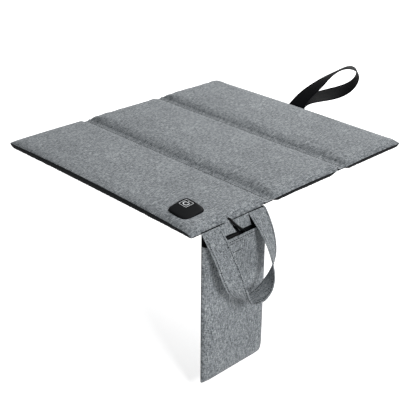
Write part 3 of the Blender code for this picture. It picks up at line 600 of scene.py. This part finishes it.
def padSeam(facts, u, v):
    # the seam's height: the stuffing lifts it along the free edges, and the front panel's end turns down
    depth = facts["high"] - facts["low"]
    beside = 2 * facts["half"] - u
    along = u / facts["half"] - 1
    lift = 0.0
    for distance, isFree in ((v, facts["lowFree"]), (depth - v, facts["highFree"])):
        if isFree:
            bow = (1 - along**2) ** pad["seamBow"] + pad["seamLean"] * (1 - along)
            lift += pad["seamLift"] * bow * max(0.0, 1 - distance / pad["seamLiftReach"]) ** 2
    for distance in (u, beside):
        if facts["side"] != "front" or distance == u:
            bow = 1 - (2 * v / depth - 1) ** 2
            lift += pad["endLift"] * bow * max(0.0, 1 - distance / pad["seamLiftReach"]) ** 2
    if facts["side"] == "front":
        near = max(0.0, 1 - beside / pad["hemDropReach"]) ** 2
        lift -= pad["hemDrop"] * near * softStep((depth - v - pad["hemDropFrom"]) / pad["hemDropRamp"])
    return facts["seam"] + lift


keypadLow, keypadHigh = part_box("control_patch")


def keypadDistance(x, y):
    dx = max(keypadLow.x - x, 0, x - keypadHigh.x)
    dy = max(keypadLow.y - y, 0, y - keypadHigh.y)
    return math.hypot(dx, dy)


def makePad(side):
    facts = padFacts(side)
    depth = facts["high"] - facts["low"]
    free = pad["freeRound"]
    low = free if facts["lowFree"] else pad["slopeRound"]
    high = free if facts["highFree"] else pad["crestRound"]
    us = rimmedLines(2 * facts["half"], free, free, pad["rimShares"], pad["grid"])
    vs = rimmedLines(depth, low, high, pad["rimShares"], pad["grid"])

    def above(u, v):
        x, y = padPlan(facts, u, v)
        rise = padRise(facts, u, v, pad["freeRound"], pad["freePower"], slopeSide, crestSide)
        seam = padSeam(facts, u, v)
        z = seam + (facts["seam"] + facts["crown"] - seam) * rise
        z += pad["dome"] * (1 - (u / facts["half"] - 1) ** 4) * math.sin(math.pi * v / depth) * rise
        if side == "front":
            z += pad["hoodRise"] * pad["hood"] * hoodShare(facts, u, y) * softStep(6 * rise)
            z -= pad["dent"] * (1 - softStep(keypadDistance(x, y) / pad["dentReach"])) * rise
        return Vector((x, y, z))

    def below(u, v):
        x, y = padPlan(facts, u, v)
        rise = padRise(facts, u, v, pad["underRound"], pad["underPower"], softSide, softSide)
        seam = padSeam(facts, u, v)
        return Vector((x, y, seam - (seam - facts["under"]) * rise))

    upper = clothGrid(side + "_upper", us, vs, above)
    lower = clothGrid(side + "_lower", us, vs, below)
    upper.data.materials.append(greyCloth)
    lower.data.materials.append(blackCloth)
    ob = joinAll([upper, lower], side + "_pad")
    faceOutward(ob)
    inflate(ob, facts)
    smoothShade(ob, 60)
    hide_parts(side + "_top_cover", side + "_bottom_cover")
    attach(ob, side + "_panel")


def inflate(ob, facts):
    # the cloth puckers along its seams and swells over the filling
    sewn = ob.vertex_groups.new(name="sewn")
    for v in ob.data.vertices:
        rim = abs(v.co.z - facts["seam"]) < pad["sewnReach"]
        rest = v.co.z < facts["under"] + pad["restReach"]
        sewn.add([v.index], 1.0 if rim or rest else 0.0, "REPLACE")
    before = [v.co.copy() for v in ob.data.vertices]
    mod = ob.modifiers.new("cloth", "CLOTH")
    for key, value in stuffing.items():
        setattr(mod.settings, key, value)
    mod.settings.effector_weights.gravity = 0
    mod.point_cache.frame_start, mod.point_cache.frame_end = 1, pad["frames"]
    scene = bpy.context.scene
    for number in range(1, pad["frames"] + 1):
        scene.frame_set(number)
    activate(ob)
    bpy.ops.object.modifier_apply(modifier=mod.name)
    scene.frame_set(1)
    for v, start in zip(ob.data.vertices, before):
        move = v.co - start
        if move.length > pad["swell"]:
            v.co = start + move.normalized() * pad["swell"]
        lowest = start.z - pad["sink"] if start.z > facts["seam"] else facts["under"]
        v.co.z = max(v.co.z, lowest)


for side in ("front", "middle", "back"):
    makePad(side)
print("stage 4: pads made")


# stitches

def makeStitches(name, rows, thread, width, length, gap):
    # rows are lists of (point, normal); one stitch is modelled and copied along each row
    height = 0.7 * width   # the cloth presses the thread flat
    deselectAll()
    bpy.ops.mesh.primitive_uv_sphere_add(segments=6, ring_count=5, radius=0.5,
                                         rotation=(0, math.pi / 2, 0))
    model = settle(bpy.context.active_object)
    made = []
    for row in rows:
        points = [Vector(p) for p, n in row]
        total = lineLength(points)
        count = max(1, int(total / (length + gap)))
        travelled, target, index = 0.0, (total - count * (length + gap) + gap) / 2 + length / 2, 0
        for i in range(len(points) - 1):
            step = (points[i + 1] - points[i]).length
            while index < count and travelled + step >= target:
                at = points[i].lerp(points[i + 1], (target - travelled) / step)
                along = (points[i + 1] - points[i]).normalized()
                across = Vector(row[i][1]).normalized().cross(along).normalized()
                copy = bpy.data.objects.new("stitch", model.data.copy())
                bpy.context.scene.collection.objects.link(copy)
                axes = (along * length, across * width, along.cross(across) * height)
                copy.data.transform(Matrix.Translation(at) @ Matrix(axes).transposed().to_4x4())
                made.append(copy)
                target += length + gap
                index += 1
            travelled += step
    bpy.data.objects.remove(model)
    return coat(joinAll(made, name), thread, 60)


# the sewn channels between the pads

channel = {
    "wall": 0.5 * mm, "rowGap": 5.5 * mm, "tuck": 1.3 * mm, "overlap": 3.4 * mm,
    "rise": 2.0 * mm, "risePower": 1.3, "sink": 0.1 * mm, "pucker": 0.2 * mm, "puckerSize": 7 * mm,
    "gridAlong": 3 * mm, "gridAcross": 1.1 * mm,
    "stitch": {"width": 1.2 * mm, "length": 3.4 * mm, "gap": 0.6 * mm},
}


def makeChannel(side):
    topLow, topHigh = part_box(side + "_channel_top")
    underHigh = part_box(side + "_channel_bottom")[1]
    low, high = topLow.y - channel["tuck"], topHigh.y + channel["tuck"]
    middle = (low + high) / 2
    us = steps(topLow.x - channel["overlap"], topHigh.x + channel["overlap"], channel["gridAlong"])
    vs = steps(low, high, channel["gridAcross"])

    def height(u, v):
        # sewn down between the two rows, with the cloth rising to both seams
        beyond = max(0.0, 2 * abs(v - middle) - channel["rowGap"]) / (high - low - channel["rowGap"])
        pucker = channel["pucker"] * ripple(u, v, 0, channel["puckerSize"], 3.0)
        pucker *= 1 - abs(2 * (v - middle) / (high - low))
        return topLow.z + channel["rise"] * beyond ** channel["risePower"] + pucker - channel["sink"]

    def sewnIn(name, heightAt, cloth):
        ob = clothGrid(side + name, us, vs, lambda u, v: Vector((u, v, heightAt(u, v))))
        return coat(thicken(ob, channel["wall"], 1.0), cloth, 50)

    top = sewnIn("_channel_cloth", height, greyCloth)
    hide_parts(side + "_channel_top")
    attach(top, side + "_channel")
    under = sewnIn("_channel_lining", lambda u, v: underHigh.z - channel["wall"], blackCloth)
    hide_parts(side + "_channel_bottom")
    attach(under, side + "_channel")

    rows = [[((x, y, height(x, y) + channel["wall"]), (0, 0, 1)) for x in us[1:-1]]
            for y in (middle - channel["rowGap"] / 2, middle + channel["rowGap"] / 2)]
    seams = makeStitches(side + "_channel_stitches", rows, darkThread, **channel["stitch"])
    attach(seams, side + "_channel")


for side in ("front", "back"):
    makeChannel(side)
print("stage 5: channels made")


# the keypad, its key and the mark on it

keypad = {
    "lean": 5.8, "leanAxis": (0.698, 0.716, 0.0),   # it leans with the crowned cloth, in degrees
    "raise": 1.4 * mm, "foot": 0.6 * mm, "around": 96,
    "reach": 0.15, "reachShare": 0.7,   # it reaches further towards the panel's corner than away from it
    "corner": 4.4, "keyCorner": 5.0,    # powers of the rounded squares
    "keyHalf": 8.75 * mm,
    # rings from the foot up and in to the key's opening: shift towards the key, and millimetres out
    # and up, first from the pad's edge at its foot, then from its edge at the top, then from the key's
    "footRings": [(0, 0, 0), (0, 0.1, 1.2)],
    "edgeRings": [(0, -0.1, -1.9), (0, -0.6, -0.9), (0, -1.5, -0.3), (0.05, -2.8, -0.05),
                  (0.3, -4.6, 0.1)],
    "keyRings": [(0.75, 3.0, 0.25), (1, 1.3, 0.3), (1, 0.7, 0.3), (1, 0.2, 0.3), (1, 0.2, -2.2)],
    # the key's own rings: share of its size, millimetres out, and millimetres up from the top
    "keyLevels": [(1, 0, -2.0), (1, 0, 0.22), (1, -0.12, 0.3), (1, -0.8, 0.32), (0.6, 0, 0.36),
                  (0.25, 0, 0.38)],
}

keyLow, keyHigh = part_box("power_button")
keypadX, keypadY = (keypadLow.x + keypadHigh.x) / 2, (keypadLow.y + keypadHigh.y) / 2
keyX, keyY = (keyLow.x + keyHigh.x) / 2, (keyLow.y + keyHigh.y) / 2
keypadTop = keypadHigh.z + keypad["raise"]


def superSquare(angle, half, power):
    c, s = math.cos(angle), math.sin(angle)
    r = half / (abs(c) ** power + abs(s) ** power) ** (1 / power)
    return r * c, r * s


def leanOver(ob):
    pivot = Vector((keypadX, keypadY, keypadTop))
    turn = Matrix.Rotation(math.radians(keypad["lean"]), 4, Vector(keypad["leanAxis"]))
    ob.data.transform(Matrix.Translation(pivot) @ turn @ Matrix.Translation(-pivot))


def startDrum(name, caps):
    deselectAll()
    bpy.ops.mesh.primitive_cylinder_add(vertices=keypad["around"], radius=1, depth=1, end_fill_type=caps)
    ob = bpy.context.active_object
    ob.name = ob.data.name = name
    return ob


def makeKeypad():
    half = (keypadHigh.x - keypadLow.x) / 2
    bases = (("footRings", half, keypadLow.z + keypad["foot"]), ("edgeRings", half, keypadTop),
             ("keyRings", keypad["keyHalf"], keypadTop))
    rings = [(shift, size + out * mm, z + up * mm)
             for kind, size, z in bases for shift, out, up in keypad[kind]]
    ob = startDrum("keypad", "NOTHING")
    # the drum's wall is cut once for each ring between the first and the last
    bpy.ops.object.mode_set(mode="EDIT")
    for number in range(1, len(rings) - 1):
        z = -0.5 + number / (len(rings) - 1)
        bpy.ops.mesh.select_all(action="SELECT")
        bpy.ops.mesh.bisect(plane_co=(0, 0, z), plane_no=(0, 0, 1))
    bpy.ops.object.mode_set(mode="OBJECT")
    for v in ob.data.vertices:
        shift, size, z = rings[round((v.co.z + 0.5) * (len(rings) - 1))]
        x, y = superSquare(math.atan2(v.co.y, v.co.x), size, keypad["corner"])
        further = keypad["reachShare"] * keypad["reach"] * (1 - shift) * ((x - y) / math.sqrt(2) + half)
        v.co = (keypadX + (keyX - keypadX) * shift + x + further,
                keypadY + (keyY - keypadY) * shift + y - further, z)
    faceOutward(ob)
    modify(ob, "SUBSURF", levels=1, render_levels=1)
    leanOver(ob)
    coat(ob, silicone, 60)
    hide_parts("control_patch")
    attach(ob, "front_panel")


def makeKey():
    key = startDrum("power_key", "NGON")
    insetTop(key, len(keypad["keyLevels"]) - 2)
    levels = [(share * keypad["keyHalf"] + out * mm, keypadTop + up * mm)
              for share, out, up in keypad["keyLevels"]]
    heights = sorted({round(v.co.z, 4) for v in key.data.vertices})
    for v in key.data.vertices:
        size, z = levels[heights.index(round(v.co.z, 4))]
        x, y = superSquare(math.atan2(v.co.y, v.co.x), size, keypad["keyCorner"])
        v.co = (keyX + x, keyY + y, z)
    faceOutward(key)
    leanOver(key)
    coat(key, silicone, 50)
    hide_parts("power_button")
    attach(key, "button")


def insetTop(ob, count):
    # adds rings to the drum's top face by inset and move, one height each
    bpy.ops.object.mode_set(mode="EDIT")
    bpy.ops.mesh.select_all(action="DESELECT")
    bpy.ops.object.mode_set(mode="OBJECT")
    for face in ob.data.polygons:
        face.select = face.normal.z > 0.9
    bpy.ops.object.mode_set(mode="EDIT")
    for level in range(count):
        bpy.ops.mesh.inset(thickness=0.15, use_boundary=True)
        bpy.ops.transform.translate(value=(0, 0, 0.1))
    bpy.ops.object.mode_set(mode="OBJECT")


mark = {
    "thick": 0.12 * mm, "shift": 0.45 * mm, "lift": 0.42 * mm,
    "ring": (3.2 * mm, 4.6 * mm), "ringFrom": 132, "ringTo": 408, "ringSteps": 60,
    "frame": (6.65 * mm, 7.2 * mm), "frameCorner": 10.0, "frameSteps": 96,
    "barWidth": 1.3 * mm, "barLength": 4.2 * mm, "barUp": 3.3 * mm, "barRound": 0.3 * mm,
}


def makeBand(name, angles, edges, power):
    # a flat band between two rounded squares; with a power of 2 they are circles
    ob = clothGrid(name, angles, edges, lambda angle, half: Vector((*superSquare(angle, half, power), 0)))
    return thicken(ob, mark["thick"], 1.0)


def makeMark():
    # a plain power mark: an open ring and a bar, in a square frame
    turn = (mark["ringTo"] - mark["ringFrom"]) / mark["ringSteps"]
    opened = [math.radians(mark["ringFrom"] + turn * i) for i in range(mark["ringSteps"] + 1)]
    closed = [2 * math.pi * i / mark["frameSteps"] for i in range(mark["frameSteps"])] + [0.0]
    arc = makeBand("arc", opened, mark["ring"], 2)
    border = makeBand("border", closed, mark["frame"], mark["frameCorner"])
    deselectAll()
    bpy.ops.mesh.primitive_cube_add(size=1, location=(0, mark["barUp"], mark["thick"] / 2),
                                    scale=(mark["barWidth"], mark["barLength"], mark["thick"]))
    bar = modify(bpy.context.active_object, "BEVEL", width=mark["barRound"], segments=3, affect="EDGES")
    ob = joinAll([arc, settle(bar), border], "power_mark")
    ob.data.materials.clear()
    ob.data.materials.append(printWhite)
    ob.location = (keyX + mark["shift"], keyY - mark["shift"], keypadTop + mark["lift"])
    leanOver(settle(ob))
    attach(ob, "button")


makeKeypad()
makeKey()
makeMark()
print("stage 6: keypad made")


# the flap: its lining, the pocket cloth, the tapes' stitching and the closing tab

flap = {
    "grid": 3.0 * mm, "rimShares": (0, 0.01, 0.04, 0.09, 0.16, 0.26, 0.4, 0.56, 0.76, 1),
    "room": 9.4 * mm, "sideReach": 14 * mm, "footReach": 22 * mm, "wall": 1.0 * mm,
    "ripple": 0.5 * mm, "rippleSize": 38 * mm, "wrinkle": 0.15 * mm, "wrinkleSize": 14 * mm,
    "sag": 0.6 * mm, "sagPlace": 50 * mm, "sagReach": 30 * mm,
    "hemDepth": 5.5 * mm, "hemStep": 0.6 * mm, "hemFlat": 0.85,
    "hemShares": (0, 0.3, 0.6, 0.85, 0.93, 1, 1.08),
    "hemSeam": 4.2 * mm, "hemSeamEnds": 5 * mm, "hemSeamGrid": 2 * mm,
    "tapeMargin": 1 * mm, "tapeTop": 5 * mm, "tapeSteps": 12,   # the sewn rectangle round the tape
    "seamLift": 0.2 * mm,
    "stitch": {"width": 1.2 * mm, "length": 3.4 * mm, "gap": 0.5 * mm},
}
lining = {"grid": 5 * mm, "wall": 1.3 * mm, "gap": 0.1 * mm, "edge": 0.35 * mm, "ripple": 0.35 * mm,
          "rippleSize": 45 * mm, "calm": 20 * mm}   # no ripple at the edges


def makeLining():
    low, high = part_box("flap_lining")
    us = steps(low.y, high.y, lining["grid"])
    vs = steps(low.z, high.z, lining["grid"])

    def place(u, v):
        inward = min(u - low.y, high.y - u, v - low.z, high.z - v)
        hill = ripple(0, u, v, lining["rippleSize"], 1.3) * lining["ripple"]
        return Vector((low.x + lining["gap"] + hill * softStep(inward / lining["calm"]), u, v))

    ob = clothGrid("flap_back", us, vs, place)
    coat(thicken(ob, lining["wall"], 1.0, lining["edge"], 2), blackCloth, 50)
    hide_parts("flap_lining")
    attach(ob, "pocket_flap")


def pocketPoint(low, high, u, v):
    # u across from the left side, v down from the mouth
    width, length = high.y - low.y, high.z - low.z
    rise = rounded(min(u, width - u), flap["sideReach"], 2) * rounded(length - v, flap["footReach"], 2)
    hill = ripple(0, u, v, flap["rippleSize"], 5.1) * flap["ripple"]
    hill += ripple(0, u, v, flap["wrinkleSize"], 2.4) * flap["wrinkle"]
    sag = flap["sag"] * bell(v, flap["sagPlace"], flap["sagReach"])
    flat = flap["hemFlat"] * flap["hemDepth"]
    hem = flap["hemStep"] * (1 - softStep((v - flat) / (flap["hemDepth"] - flat)))
    return Vector((low.x + flap["room"] * rise + (hill - sag + hem) * rise, low.y + u, high.z - v))


def makePocket():
    low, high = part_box("pocket_front")
    width, length = high.y - low.y, high.z - low.z
    us = rimmedLines(width, flap["sideReach"], flap["sideReach"], flap["rimShares"], flap["grid"])
    foot = [flap["footReach"] * share for share in flap["rimShares"]]
    hemLines = [flap["hemDepth"] * share for share in flap["hemShares"]]
    vs = hemLines + steps(hemLines[-1] + flap["grid"], length - foot[-1], flap["grid"])
    vs += [length - s for s in reversed(foot[:-1])]
    ob = clothGrid("pocket_cloth", us, vs, lambda u, v: pocketPoint(low, high, u, v))
    for v in thicken(ob, flap["wall"]).data.vertices:
        v.co.x = max(v.co.x, low.x)
    coat(ob, greyCloth, 60)
    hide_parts("pocket_front")
    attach(ob, "pocket_flap")

    def on(u, v):
        # a point on the cloth's face, with the way that it looks
        out = Vector((flap["wall"] / 2 + flap["seamLift"], 0, 0))
        return pocketPoint(low, high, u, v) + out, (1, 0, 0)

    ends = flap["hemSeamEnds"]
    rows = [[on(u, flap["hemSeam"]) for u in steps(ends, width - ends, flap["hemSeamGrid"])]]
    tapeLow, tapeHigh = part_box("loop_tape")
    margin, count = flap["tapeMargin"], flap["tapeSteps"]
    left, right = tapeLow.y - low.y - margin, tapeHigh.y - low.y + margin
    top, bottom = high.z - tapeHigh.z + flap["tapeTop"], high.z - tapeLow.z + margin
    corners = [(left, top), (right, top), (right, bottom), (left, bottom), (left, top)]
    for (u0, v0), (u1, v1) in zip(corners, corners[1:]):
        rows.append([on(u0 + (u1 - u0) * i / count, v0 + (v1 - v0) * i / count)
                     for i in range(count + 1)])
    seams = makeStitches("pocket_stitches", rows, blackThread, **flap["stitch"])
    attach(seams, "pocket_flap")


makeLining()
makePocket()
print("stage 7: flap made")


tab = {
    "slitFromSide": 18.5 * mm, "slitRun": 12 * mm, "slitTop": 2.0 * mm, "slitWidth": 4.2 * mm,
    "slitOpening": 8 * mm, "curl": 1.6 * mm, "curlReach": 5 * mm, "leafWidth": 30 * mm,
    "wall": 1.0 * mm, "flare": 5 * mm,
    "root": 0.5 * mm, "cadWall": 1.1 * mm, "ripple": 0.4 * mm, "rippleSize": 14 * mm, "edge": 0.3 * mm,
    "gridAcross": 0.05, "gridDown": 0.9 * mm,
}


def makeTab():
    # two leaves, left and right of the slit that the lead comes through
    low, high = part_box("closing_tab")
    width, length = high.y - low.y, high.z - low.z
    lean = (high.x - low.x) - tab["cadWall"]
    leaves = []
    for isRight in (False, True):
        def place(s, v, isRight=isRight):
            # s runs from 0 to 1 across the leaf, v down from the tab's root
            down = v / length
            wider = 0.6 + 0.8 * down
            slit = tab["slitFromSide"] + tab["slitRun"] * max(0.0, v - tab["slitTop"]) / length
            half = tab["slitWidth"] / 2 * softStep((v - tab["slitTop"]) / tab["slitOpening"]) * wider
            flare = tab["flare"] * (0.2 + 0.8 * down)
            u = (slit + half) + s * (width + flare - slit - half) if isRight else s * (slit - half)
            fromSlit = (s if isRight else 1 - s) * tab["leafWidth"]
            curl = tab["curl"] * bell(fromSlit, 0, tab["curlReach"]) * down**2
            hill = tab["ripple"] * ripple(0, u, v, tab["rippleSize"], 4.4) * down
            return Vector((low.x + tab["root"] + lean * down + curl + hill, low.y + u, high.z - v))
        leaf = clothGrid("leaf", steps(0, 1, tab["gridAcross"]), steps(0, length, tab["gridDown"]), place)
        layer = leaf.data.uv_layers.active
        for corner in leaf.data.loops:
            co = leaf.data.vertices[corner.vertex_index].co
            layer.data[corner.index].uv = (co.y, co.z)
        leaves.append(leaf)
    ob = joinAll(leaves, "tab_cloth")
    coat(thicken(ob, tab["wall"], edge=tab["edge"], segments=2), greyCloth, 60)
    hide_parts("closing_tab")
    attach(ob, "closing_flap")


makeTab()
print("stage 8: tab made")


# the carrying handle: sewn in flat at both ends, its loop turned on edge

handle = {
    "width": 31 * mm, "wall": 1.6 * mm, "halfSpan": 42.2 * mm, "drop": 96 * mm, "dropPower": 1.46,
    "reach": 42 * mm, "extraReach": 1.8 * mm, "reachPower": 3.25, "spread": 6.1 * mm, "skew": -6.0 * mm,
    "bow": 2.9 * mm, "centreY": -0.1461,
    "nearTurn": 1.13, "farTurn": 1.05, "slew": 0.08,    # how the loop's turn is shared out along each leg
    "pinch": 2.0 * mm, "pinchReach": 0.3,   # the free run curls in, and so shows narrower than it is
    "cup": 0.5 * mm, "ripple": 0.25 * mm, "rippleSize": 20 * mm, "edge": 0.5 * mm,
    "stations": 150, "stationPower": 1.5, "step": 0.004,
    "widthShares": (-1, -0.97, -0.9, -0.8, -0.7, -0.5, -0.25, 0, 0.25, 0.5, 0.7, 0.8, 0.9, 0.97, 1),
    "hem": 2.8 * mm, "seamStations": 240, "seamEnd": 2 * mm,
    "stitch": {"width": 1.1 * mm, "length": 3.2 * mm, "gap": 0.5 * mm},
}

handleLow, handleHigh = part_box("handle_strap")


def handlePath(s):
    # s runs from -1 at the near end to 1 at the far end, and is 0 at the loop's foot
    a = abs(s)
    side = 1 if s >= 0 else -1
    swing = math.sin(math.pi * a)
    reach = (handle["reach"] + handle["extraReach"]) * (1 - a ** handle["reachPower"])
    y = handle["centreY"] + side * (handle["halfSpan"] * math.sqrt(a) + handle["spread"] * swing)
    y += handle["skew"] * (1 - a**2) + handle["bow"] * swing
    z = handleHigh.z - handle["drop"] * (1 - a ** handle["dropPower"])
    turn = -math.pi / 2 * side * (1 - (1 - a) ** handle["nearTurn" if s < 0 else "farTurn"])
    turn -= handle["slew"] * swing
    centre = Vector((handleLow.x + handle["wall"] / 2 + reach, y, z))
    return centre, Vector((math.cos(turn), math.sin(turn), 0))


def handleFrame(s):
    step = handle["step"]
    centre, across = handlePath(s)
    along = (handlePath(min(s + step, 1))[0] - handlePath(max(s - step, -1))[0]).normalized()
    across = (across - along * across.dot(along)).normalized()
    return centre, across, along.cross(across)


def handleWidth(s):
    return 1 - 2 * handle["pinch"] / handle["width"] * softStep((1 - abs(s)) / handle["pinchReach"])


def handleCup(s, v):
    # the strap is hollow across, but flat where it is sewn in
    return handle["cup"] * (2 * v / handle["width"]) ** 2 * (1 - abs(s) ** 6)


def handleStations(count):
    # closer together at the foot, where the strap turns
    shares = [2 * i / count - 1 for i in range(count + 1)]
    return [math.copysign(abs(share) ** handle["stationPower"], share) for share in shares]


def makeHandle():
    half = handle["width"] / 2

    def place(s, v):
        centre, across, normal = handleFrame(s)
        hill = ripple(s * 0.2, v, 0.3, handle["rippleSize"], 2.0) * handle["ripple"] * (1 - abs(s) ** 8)
        return centre + across * handleWidth(s) * v + normal * (hill + handleCup(s, v))

    widths = [half * share for share in handle["widthShares"]]
    ob = strapGrid("handle_cloth", handleStations(handle["stations"]), widths,
                   lambda s: handlePath(s)[0], place)
    for v in thicken(ob, handle["wall"], edge=handle["edge"]).data.vertices:
        v.co.x = max(v.co.x, handleLow.x)
        v.co.z = min(v.co.z, handleHigh.z)
    coat(ob, greyCloth, 60)
    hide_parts("handle_strap")
    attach(ob, "carry_handle")

    rows = []
    for face in (1, -1):
        for edge in (1, -1):
            row = []
            for s in handleStations(handle["seamStations"]):
                centre, across, normal = handleFrame(s)
                beside = edge * (half * handleWidth(s) - handle["hem"])
                out = handleCup(s, half - handle["hem"]) + face * handle["wall"] / 2
                point = centre + across * beside + normal * out
                if point.z < handleHigh.z - handle["seamEnd"]:
                    row.append((point, normal * face))
            rows.append(row)
    seams = makeStitches("handle_stitches", rows, darkThread, **handle["stitch"])
    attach(seams, "carry_handle")


makeHandle()
print("stage 9: handle made")


# the hanging loop of webbing on the back edge

loop = {
    "width": 30 * mm, "wall": 1.6 * mm, "x": -9.4 * mm, "length": 110.7 * mm, "halfHeight": 30.0 * mm,
    "rise": 46.0 * mm, "risePower": 0.76, "rootHeight": 8.2 * mm, "root": 2.4 * mm,
    "strandOffset": 1.1 * mm, "tipPower": 2.25, "turn": 46.0, "stations": 150, "across": 18,
    "edge": 0.5 * mm, "sway": 4.0 * mm, "swayFrom": 0.1,
    # how each free strand rolls over: by how much, at which place of the run, and how far along it
    "rolls": [(-0.36, 1.93, 0.52), (-0.31, 4.4, 0.75)],
}

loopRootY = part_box("loop_anchor")[0].y


def loopStrand(t):
    # t runs from 0 at the root over the tip, at pi, to 2 pi at the root again: the lower strand is last
    u = loop["length"] * (1 - math.cos(t)) / 2
    share = u / loop["length"]
    heading = math.radians(loop["turn"]) * share
    sway = loop["sway"] * softStep(3 * (share - loop["swayFrom"]))
    lift = loop["halfHeight"] * math.sin(t) * math.sin(t / 2) ** loop["tipPower"]
    lift += loop["strandOffset"] * math.cos(t / 2)
    centre = Vector((loop["x"] + sway + u * math.sin(heading / 2), loopRootY + u * math.cos(heading / 2),
                     loop["rootHeight"] + loop["rise"] * share ** loop["risePower"] + lift))
    return centre, Vector((math.cos(heading), -math.sin(heading), 0))


def makeLoop():
    start = math.acos(1 - 2 * loop["root"] / loop["length"])
    stations = steps(start, 2 * math.pi - start, (2 * math.pi - 2 * start) / loop["stations"])
    half = loop["width"] / 2

    def place(t, v):
        centre, across = loopStrand(t)
        along = (loopStrand(t + 0.01)[0] - loopStrand(t - 0.01)[0]).normalized()
        across = (across - along * across.dot(along)).normalized()
        roll = sum(angle * bell(t, at, reach) for angle, at, reach in loop["rolls"])
        return centre + (across * math.cos(roll) + along.cross(across) * math.sin(roll)) * v

    ob = strapGrid("hanging_strap", stations, steps(-half, half, loop["width"] / loop["across"]),
                   lambda t: loopStrand(t)[0], place)
    coat(thicken(ob, loop["wall"], edge=loop["edge"]), webbingBlack, 60)
    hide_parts("hanging_loop")
    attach(ob, "hang_loop")


makeLoop()
print("stage 10: hanging loop made")


# the CAD nodes that stay get their finishes

finishes = {
    "wadding": fibreWhite, "heating_wire": wireJacket, "carrier_mat": feltGrey, "foam_core": foamCream,
    "ribbon_lead": ribbonJacket, "thermal_cutout": filmAmber, "control_tray": plugPlastic,
    "control_board": boardGreen, "tact_switch": switchSteel, "lead_gland": silicone,
    "usb_plug": plugPlastic, "usb_shell": platedSteel, "hook_tape": tapeNylon,
    "loop_tape": tapeNylon, "loop_anchor": webbingBlack,
}


def dressNodes():
    for name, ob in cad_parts.items():
        for ending, material in finishes.items():
            if name.endswith(ending):
                ob.data.materials.clear()
                ob.data.materials.append(material)


dressNodes()
print("stage 11: CAD nodes dressed")


# floor, backdrop and lights

studio = {
    "floorDrop": 25 * mm, "floorSize": 12.0, "floor": "#f2f2f2", "floorRoughness": 0.9, "floorGlow": 0.75,
    "air": (0.95, 0.97, 1, 1), "airLight": 0.13, "white": (1, 1, 1, 1),
    "lamps": {   # place, side of the square and power
        "key lamp": ((1.66, -0.6, 0.85), 0.38, 20),
        "back lamp": ((-1.1, 2.4, 1.7), 0.9, 77),
    },
}


def whenSeen(tree, hidden, seen):
    # one shader for the rays that see the backdrop, another for those that only carry its light
    rays = addNode(tree, "LightPath").outputs
    either = addNode(tree, "Math", {"operation": "MAXIMUM"},
                     {0: rays["Is Camera Ray"], 1: rays["Is Glossy Ray"]})
    share = addNode(tree, "Math", {"operation": "MAXIMUM"}, {0: either, 1: rays["Is Transmission Ray"]})
    return addNode(tree, "MixShader", None, {"Fac": share, 1: hidden, 2: seen}).outputs[0]


def makeFloor():
    deselectAll()
    bpy.ops.mesh.primitive_plane_add(size=studio["floorSize"],
                                     location=(0, 0, cadLow.z - studio["floorDrop"]))
    ob = bpy.context.active_object
    ob.name = "floor"
    made, tree, shader = startMaterial("pale studio floor", Base_Color=hexToLinear(studio["floor"]),
                                       Roughness=studio["floorRoughness"])
    glow = addNode(tree, "Emission", None, {"Color": studio["white"], "Strength": studio["floorGlow"]})
    both = addNode(tree, "AddShader", None, {0: shader, 1: glow})
    tree.links.new(whenSeen(tree, shader, both), tree.nodes["Material Output"].inputs["Surface"])
    ob.data.materials.append(made)


def makeWorld():
    world = bpy.data.worlds.new("studio")
    bpy.context.scene.world = world
    world.use_nodes = True
    tree = world.node_tree
    light = addNode(tree, "Background", None, {"Color": studio["air"], "Strength": studio["airLight"]})
    white = addNode(tree, "Background", None, {"Color": studio["white"], "Strength": 1.0})
    tree.links.new(whenSeen(tree, light, white), tree.nodes["World Output"].inputs["Surface"])


def makeLamp(name, place, size, power):
    data = bpy.data.lights.new(name, "AREA")
    data.shape = "SQUARE"
    data.size = size
    data.energy = power
    ob = bpy.data.objects.new(name, data)
    bpy.context.scene.collection.objects.link(ob)
    ob.location = place
    ob.rotation_mode = "QUATERNION"
    ob.rotation_quaternion = Vector(place).to_track_quat("Z", "Y")


makeFloor()
makeWorld()
for name, (place, size, power) in studio["lamps"].items():
    makeLamp(name, place, size, power)
bpy.context.scene.view_settings.view_transform = "Standard"
print("stage 12: studio made")
